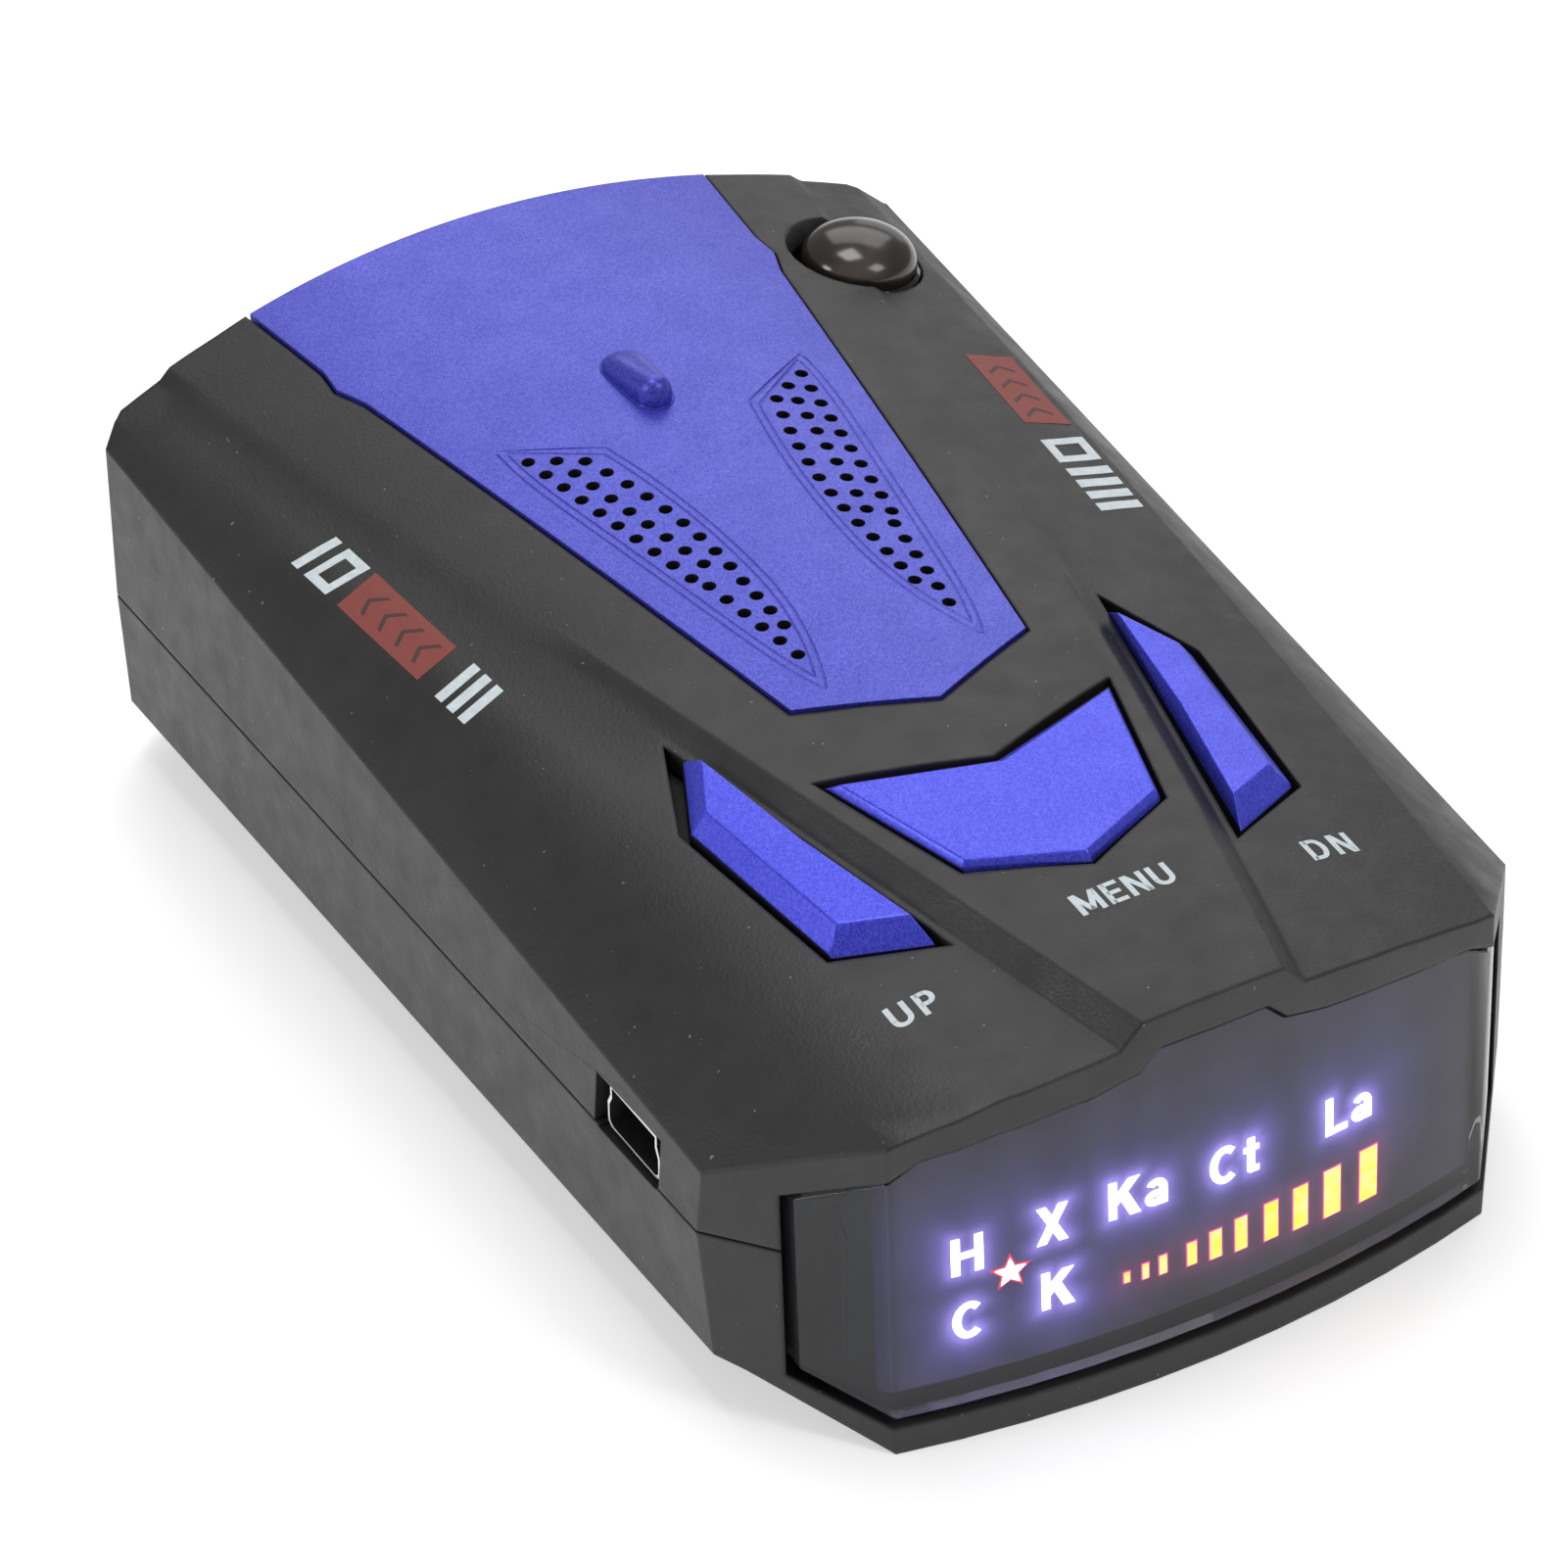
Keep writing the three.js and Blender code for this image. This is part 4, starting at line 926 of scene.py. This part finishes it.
GLYPHS = {
    "C": (0.78, bow(0.4, 0.5, 0.4, 0.5, 48, 312, 14)),
    "D": (0.76, [stem(0), arm(0.1, 0.4, 0), arm(0.1, 0.4, 0.83), *bow(0.38, 0.5, 0.38, 0.5, -90, 90)]),
    "E": (0.64, [stem(0), arm(0.1, 0.64, 0), arm(0.1, 0.58, 0.42), arm(0.1, 0.64, 0.83)]),
    "H": (0.76, [stem(0), stem(0.56), arm(0.1, 0.66, 0.42)]),
    "K": (
        0.78,
        [
            stem(0),
            [(0.18, 0.33), (0.78, 1), (0.5, 1), (0.18, 0.64)],
            [(0.52, 0), (0.8, 0), (0.47, 0.66), (0.3, 0.46)],
        ],
    ),
    "L": (0.62, [stem(0), arm(0.1, 0.62, 0)]),
    "M": (0.94, [stem(0), stem(0.74), slant(0.36, 0.0, 0.12, 1, 0.22), slant(0.36, 0.72, 0.12, 1, 0.22)]),
    "N": (0.78, [stem(0), stem(0.58), slant(0.55, 0.0)]),
    "P": (0.68, [stem(0), arm(0.1, 0.4, 0.83), arm(0.1, 0.4, 0.38), *bow(0.37, 0.69, 0.31, 0.31, -90, 90)]),
    "U": (0.76, [stem(0, 0.34), stem(0.56, 0.34), *bow(0.38, 0.36, 0.38, 0.36, 180, 360)]),
    "X": (0.76, [slant(0, 0.53), slant(0.53, 0)]),
    "a": (
        0.58,
        [
            stem(0.38, 0, 0.5),
            *bow(0.3, 0.46, 0.28, 0.26, 0, 150, 7),
            *bow(0.27, 0.21, 0.27, 0.21, 60, 360, 12),
        ],
    ),
    "t": (
        0.44,
        [stem(0.1, 0.14, 0.94), arm(0, 0.42, 0.58, 0.14), arm(0.16, 0.42, 0, 0.15), stem(0.1, 0.05, 0.2)],
    ),
}


def word_quads(text, height, gap=0.17):
    """The strokes of a word centred on 0, 0, as four-cornered patches in mm."""
    quads, x = [], 0
    for letter in text:
        width, strokes = GLYPHS[letter]
        quads += [[(x + u, v) for u, v in stroke] for stroke in strokes]
        x += width + gap
    middle = (x - gap) / 2
    return [[((u - middle) * height, (v - 0.5) * height) for u, v in quad] for quad in quads]


def finish_mark(obj, material):
    with_outward_faces(obj)
    obj.data.materials.clear()
    obj.data.materials.append(MATERIALS[material])
    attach(obj, CASE)


def lay_quads(tree, name, quads, place, ink, above=INK_ABOVE):
    """Prints four-cornered patches on the surface below. place maps a corner's u, v in mm to x, y in mm."""
    bm = bmesh.new()
    for corners in quads:
        a, b, c, d = [Vector(corner) for corner in corners]
        nu = max(1, math.ceil((b - a).length / MARK_CELL))
        nv = max(1, math.ceil((d - a).length / MARK_CELL))
        points = []
        for lift in (above, -INK_BELOW):
            for j in range(nv + 1):
                for i in range(nu + 1):
                    point = a.lerp(b, i / nu).lerp(d.lerp(c, i / nu), j / nv)
                    x, y = place(point.x, point.y)
                    px, py = x * MM, (y + SHIFT_Y) * MM
                    points.append(bm.verts.new((px, py, drop_onto(tree, px, py) + lift * MM)))
        for face in slab_faces(nu + 1, nv + 1):
            bm.faces.new([points[k] for k in face])
    finish_mark(object_from_bmesh(name, bm), ink)


def frame_quads(u0, u1, v0, v1, line):
    """The four mitred sides of a hollow rectangle."""
    outer = [(u0, v0), (u1, v0), (u1, v1), (u0, v1)]
    near_u, far_u, near_v, far_v = u0 + line, u1 - line, v0 + line, v1 - line
    inner = [(near_u, near_v), (far_u, near_v), (far_u, far_v), (near_u, far_v)]
    return [[outer[i], outer[(i + 1) % 4], inner[(i + 1) % 4], inner[i]] for i in range(4)]


def chevron_quads(u, v_half, reach, line):
    """One arrow head that points along +u."""
    return [
        [(u, -v_half), (u + line, -v_half), (u + reach + line, 0), (u + reach, 0)],
        [(u + reach, 0), (u + reach + line, 0), (u + line, v_half), (u, v_half)],
    ]


LABEL_HEIGHT = 2.15
# Each printed name's piece, letters, middle and gap between letters
LABELS = [
    ("label_menu", "MENU", 0.35, -43.97, 0.17),
    ("label_up", "UP", -16.9, -44.7, 0.28),
    ("label_down", "DN", 17.4, -44.2, 0.24),
]
# The marks along the two sides: distance from the middle, and the place along where it holds
LEFT_MARK = (27.3, 10)
RIGHT_MARK = (28.3, 14)
MARK_LEAN = 0.085
MARK_HALF = 1.9
# An arrow's half-height, reach and line
ARROW = (1.15, 0.9, 0.42)


def upright(u0, u1, lean=0.0):
    """A bar as high as the marks, whose far end leans along u."""
    return [(u0, -MARK_HALF), (u1, -MARK_HALF), (u1 + lean, MARK_HALF), (u0 + lean, MARK_HALF)]


def print_marks(tree):
    for name, text, x, y, gap in LABELS:
        quads = word_quads(text, LABEL_HEIGHT, gap)
        lay_quads(tree, name, quads, lambda u, v: (x + u, y + v), "ink_white")

    def left(u, v):
        return -(LEFT_MARK[0] + MARK_LEAN * (u - LEFT_MARK[1]) - v), u

    def right(u, v):
        return RIGHT_MARK[0] + MARK_LEAN * (u - RIGHT_MARK[1]) - v, u

    lay_quads(tree, "left_mark_block", [upright(4.6, 15.5, 0.9)], left, "ink_red")
    arrows = [quad for i in range(4) for quad in chevron_quads(6.2 + 2.3 * i, *ARROW)]
    lay_quads(tree, "left_mark_arrows", arrows, left, "ink_dark", INK_ABOVE + INK_OVER_INK)
    fore = [upright(-1.6 + 1.5 * i, -0.7 + 1.5 * i, 0.9) for i in range(3)]
    lay_quads(tree, "left_mark_fore", fore, left, "ink_white")
    aft = [*frame_quads(17.1, 20.1, -MARK_HALF, MARK_HALF, 0.75), upright(21.0, 21.9)]
    lay_quads(tree, "left_mark_aft", aft, left, "ink_white")

    lay_quads(tree, "right_mark_block", [upright(8.6, 18.6, 0.8)], right, "ink_red")
    arrows = [quad for i in range(4) for quad in chevron_quads(10.0 + 2.1 * i, *ARROW)]
    lay_quads(tree, "right_mark_arrows", arrows, right, "ink_dark", INK_ABOVE + INK_OVER_INK)
    fore = frame_quads(3.6, 6.8, -MARK_HALF, MARK_HALF, 0.8)
    fore += [upright(-3.1 + 1.6 * i, -2.1 + 1.6 * i) for i in range(4)]
    lay_quads(tree, "right_mark_fore", fore, right, "ink_white")


# ---------- Display ----------

# Each lit sign's piece, letters, and middle in x and z
SIGNS = [
    ("sign_h", "H", -18.2, 14.4),
    ("sign_c", "C", -18.2, 8.8),
    ("sign_x", "X", -11.9, 14.9),
    ("sign_k", "K", -11.6, 9.3),
    ("sign_ka", "Ka", -5.3, 15.1),
    ("sign_ct", "Ct", 2.5, 14.7),
    ("sign_la", "La", 12.3, 14.8),
]
SIGN_HEIGHT = 3.1
SIGN_GAP = 0.12
# Thickness of each kind of lit sign, and how far its back stands in front of the film
LETTER_STAND = (0.05, 0.03)
RIM_STAND = (0.02, 0.01)
CORE_STAND = (0.04, 0.04)
STAR = (-15.1, 11.9)
STAR_RADIUS = 1.2
STAR_WAIST = 0.45
STAR_RIM = 1.35
# Each bar's middle, width and height
BARS = [
    (-6.3, 0.4, 0.8),
    (-4.83, 0.45, 1.2),
    (-3.42, 0.55, 1.5),
    (-1.1, 0.7, 1.85),
    (0.85, 0.9, 2.3),
    (2.97, 0.95, 2.7),
    (5.53, 1.1, 3.1),
    (8.07, 1.2, 3.5),
    (10.87, 1.4, 3.95),
    (14.16, 1.5, 4.35),
]
BAR_Z = 8.25
BAR_RIM = 0.22
FILM_CELL = 0.35
# Light that bleeds through the film: strength at a sign, and the distance in mm over which it fades
GLOW_NEAR = (0.42, 0.5)
GLOW_WIDE = (0.13, 2.6)
GLOW_WARM = (0.07, 0.7)
GLOW_SAMPLE = 0.25
# The film also glows faintly all over, less over the last HAZE_FADE mm at its two ends.
HAZE = 0.0125
HAZE_FADE = 1.4
NEAR_COLOUR = (0.42, 0.33, 1.0)
WIDE_COLOUR = (0.24, 0.18, 1.0)
WARM_COLOUR = (1.0, 0.15, 0.4)
HAZE_COLOUR = (1.0, 0.95, 1.25)


def film_front(tree, x, z):
    """Where the sign film's front lies, as y in metres, behind the point x, z in mm."""
    hit = tree.ray_cast(Vector((x * MM, -0.1, z * MM)), Vector((0, 1, 0)))
    return hit[0].y


def stand_on_film(obj, tree, x, z, in_front):
    """Turns a flat solid from the XY plane to face the reader, on the film's curved front."""
    for vertex in obj.data.vertices:
        px, pz = x + vertex.co.x, z + vertex.co.y
        vertex.co = (px * MM, film_front(tree, px, pz) - (vertex.co.z + in_front) * MM, pz * MM)
    return with_outward_faces(obj)


def flat_prisms(name, outlines, thickness):
    """Flat closed prisms over outlines in the XY plane, in mm."""
    vertices, faces = [], []
    for outline in outlines:
        faces += prism_faces(len(outline), len(vertices))
        vertices += [(x, y, z) for z in (0, thickness) for x, y in outline]
    return mesh_object(name, vertices, faces)


def star_outline(radius):
    points = []
    for k in range(10):
        reach = radius if k % 2 == 0 else radius * STAR_WAIST
        angle = math.pi / 2 + math.pi * k / 5
        points.append((reach * math.cos(angle), reach * math.sin(angle)))
    return points


def rectangle(width, height):
    x, y = width / 2, height / 2
    return [(-x, -y), (x, -y), (x, y), (-x, y)]


def sample_edges(obj, step):
    """Points along every edge of a piece, step metres apart."""
    points = []
    for edge in obj.data.edges:
        a, b = (obj.data.vertices[k].co for k in edge.vertices)
        count = max(1, int((b - a).length / step))
        points += [a.lerp(b, i / count) for i in range(count)]
    return points


def sign_tree(signs):
    return near_tree([(p.x, 0, p.z) for sign in signs for p in sample_edges(sign, GLOW_SAMPLE * MM)])


def add_sign(tree, name, outlines, place, stand, material):
    thickness, in_front = stand
    sign = stand_on_film(flat_prisms(name, outlines, thickness), tree, *place, in_front)
    finish_mark(sign, material)
    return sign


def build_signs(tree):
    letters, bars = [], []
    for name, text, x, z in SIGNS:
        quads = word_quads(text, SIGN_HEIGHT, SIGN_GAP)
        letters.append(add_sign(tree, name, quads, (x, z), LETTER_STAND, "sign_white"))
    add_sign(tree, "sign_star_rim", [star_outline(STAR_RADIUS * STAR_RIM)], STAR, RIM_STAND, "sign_red")
    add_sign(tree, "sign_star", [star_outline(STAR_RADIUS)], STAR, CORE_STAND, "sign_white")
    for i, (x, width, height) in enumerate(BARS):
        rim = [rectangle(width + BAR_RIM, height + BAR_RIM)]
        add_sign(tree, f"bar_rim_{i + 1}", rim, (x, BAR_Z), RIM_STAND, "bar_rim")
        core = [rectangle(width, height)]
        bars.append(add_sign(tree, f"bar_{i + 1}", core, (x, BAR_Z), CORE_STAND, "bar_yellow"))
    return letters, bars


# How far the film reaches above its CAD solid, and how much further below the raised strip
FILM_LIFT = 0.5
FILM_RISE = 1.7
FILM_RISE_END = 8.2
FILM_RISE_RUN = 1.3
FILM_MARGIN = 0.1
FILM_THICKNESS = 0.4


def film_top(x, top):
    """The film's upper edge: it follows the window, which is higher below the raised strip."""
    inside = min(1.0, max(0.0, (FILM_RISE_END - abs(x)) / FILM_RISE_RUN))
    return top + FILM_LIFT + FILM_RISE * inside


def fading(glow, distance):
    strength, reach = glow
    return strength * math.exp(-distance / reach)


def build_film(tree, letters, bars):
    """The sign film as a finely divided sheet, with the glow of the signs stored at each corner."""
    low, high = (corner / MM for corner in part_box("icon_film"))
    foot, top = low.z + FILM_MARGIN, high.z - FILM_MARGIN
    xs = np.linspace(low.x + FILM_MARGIN, high.x - FILM_MARGIN, int((high.x - low.x) / FILM_CELL))
    shares = np.linspace(0, 1, int((high.z - low.z) / FILM_CELL))
    near_letters, near_bars = sign_tree(letters), sign_tree(bars)
    points, glows = [], []
    for share in shares:
        for x in xs:
            z = foot + share * (film_top(x, top) - foot)
            points.append(Vector((x * MM, film_front(tree, x, min(z, top)), z * MM)))
            letter = near_letters.find((x * MM, 0, z * MM))[2] / MM
            bar = near_bars.find((x * MM, 0, z * MM))[2] / MM
            parts = [
                (fading(GLOW_NEAR, letter), NEAR_COLOUR),
                (fading(GLOW_WIDE, letter), WIDE_COLOUR),
                (fading(GLOW_WARM, bar), WARM_COLOUR),
                (HAZE * min(1.0, (high.x - abs(x)) / HAZE_FADE), HAZE_COLOUR),
            ]
            glows.append((*(sum(amount * colour[k] for amount, colour in parts) for k in range(3)), 1))
    thickness = Vector((0, FILM_THICKNESS * MM, 0))
    vertices = points + [p + thickness for p in points]
    faces = slab_faces(len(xs), len(shares))
    film = with_outward_faces(mesh_object("icon_film_skin", vertices, faces))
    layer = film.data.color_attributes.new("glow", "FLOAT_COLOR", "POINT")
    layer.data.foreach_set("color", [c for glow in glows + glows for c in glow])
    wear(film, "icon_film")
    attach(film, CASE)
    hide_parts("icon_film")


def build_display():
    tree = surface_tree(NODES["icon_film"])
    letters, bars = build_signs(tree)
    build_film(tree, letters, bars)
    lens = rounded_copy("display_lens", "display_lens_skin", radius=0.12, sharper_than=40)
    wear(lens, "smoked_window")
    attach(lens, CASE)
    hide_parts("display_lens")


# ---------- Laser dome and socket ----------

DOME_STEPS = 18
DOME_SIDES = 72
DOME_RADIUS = 4.6
DOME_HEIGHT = 2.6
DOME_EDGE_Z = 0.05
DOME_FOOT_Z = -2.3
DOME_FOOT_CHAMFER = 0.2
DOME_TILT = 0.1
DOME_PLACE = (26.4, 34.6 + SHIFT_Y, 31.5)


def lathed(name, profile, sides):
    """A solid turned about Z from a profile of radius and height that starts and ends on the axis."""
    bm = bmesh.new()
    rings = []
    for radius, z in profile:
        if radius == 0:
            rings.append([bm.verts.new((0, 0, z * MM))])
            continue
        ring = []
        for k in range(sides):
            angle = 2 * math.pi * k / sides
            x, y = radius * math.cos(angle), radius * math.sin(angle)
            ring.append(bm.verts.new((x * MM, y * MM, z * MM)))
        rings.append(ring)
    for low, high in zip(rings, rings[1:]):
        for k in range(sides):
            after = (k + 1) % sides
            if len(low) == 1:
                bm.faces.new((low[0], high[k], high[after]))
            elif len(high) == 1:
                bm.faces.new((low[k], low[after], high[0]))
            else:
                bm.faces.new((low[k], low[after], high[after], high[k]))
    return object_from_bmesh(name, bm)


def build_dome():
    profile = [
        (0, DOME_FOOT_Z),
        (DOME_RADIUS - DOME_FOOT_CHAMFER, DOME_FOOT_Z),
        (DOME_RADIUS, DOME_FOOT_Z + DOME_FOOT_CHAMFER),
    ]
    for i in range(DOME_STEPS):
        angle = math.pi / 2 * i / DOME_STEPS
        profile.append((DOME_RADIUS * math.cos(angle), DOME_EDGE_Z + DOME_HEIGHT * math.sin(angle)))
    profile.append((0, DOME_EDGE_Z + DOME_HEIGHT))
    dome = lathed("laser_dome_skin", profile, DOME_SIDES)
    place = Matrix.Translation(Vector(DOME_PLACE) * MM) @ Matrix.Rotation(DOME_TILT, 4, "Y")
    dome.data.transform(place)
    smooth_by_angle(dome, 40)
    wear(dome, "dome_lens")
    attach(dome, CASE)
    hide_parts("laser_dome")


def build_socket():
    """The socket's metal shell, with its inner faces painted near black as shade inside the socket."""
    shell = rounded_copy("usb_shell", "usb_shell_skin", radius=0.05, sharper_than=40)
    wear(shell, "bright_metal")
    shell.data.materials.append(MATERIALS["bare_plastic_and_painted_shade"])
    low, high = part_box("usb_shell")
    axis = (low + high) / 2
    # The inner faces, which are the same metal as the outside, are painted near black as shade.
    for face in shell.data.polygons:
        outward = face.center - axis
        outward.x = 0
        if abs(face.normal.x) < 0.4 and face.normal.dot(outward) < 0:
            face.material_index = 1
    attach(shell, CASE)
    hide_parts("usb_shell")


# ---------- Run ----------

add_camera()
add_stage()
finish_cad_nodes()
upper_skin = build_shells()
build_buttons()
build_cover()
build_display()
build_dome()
build_socket()
print_marks(surface_tree(upper_skin))
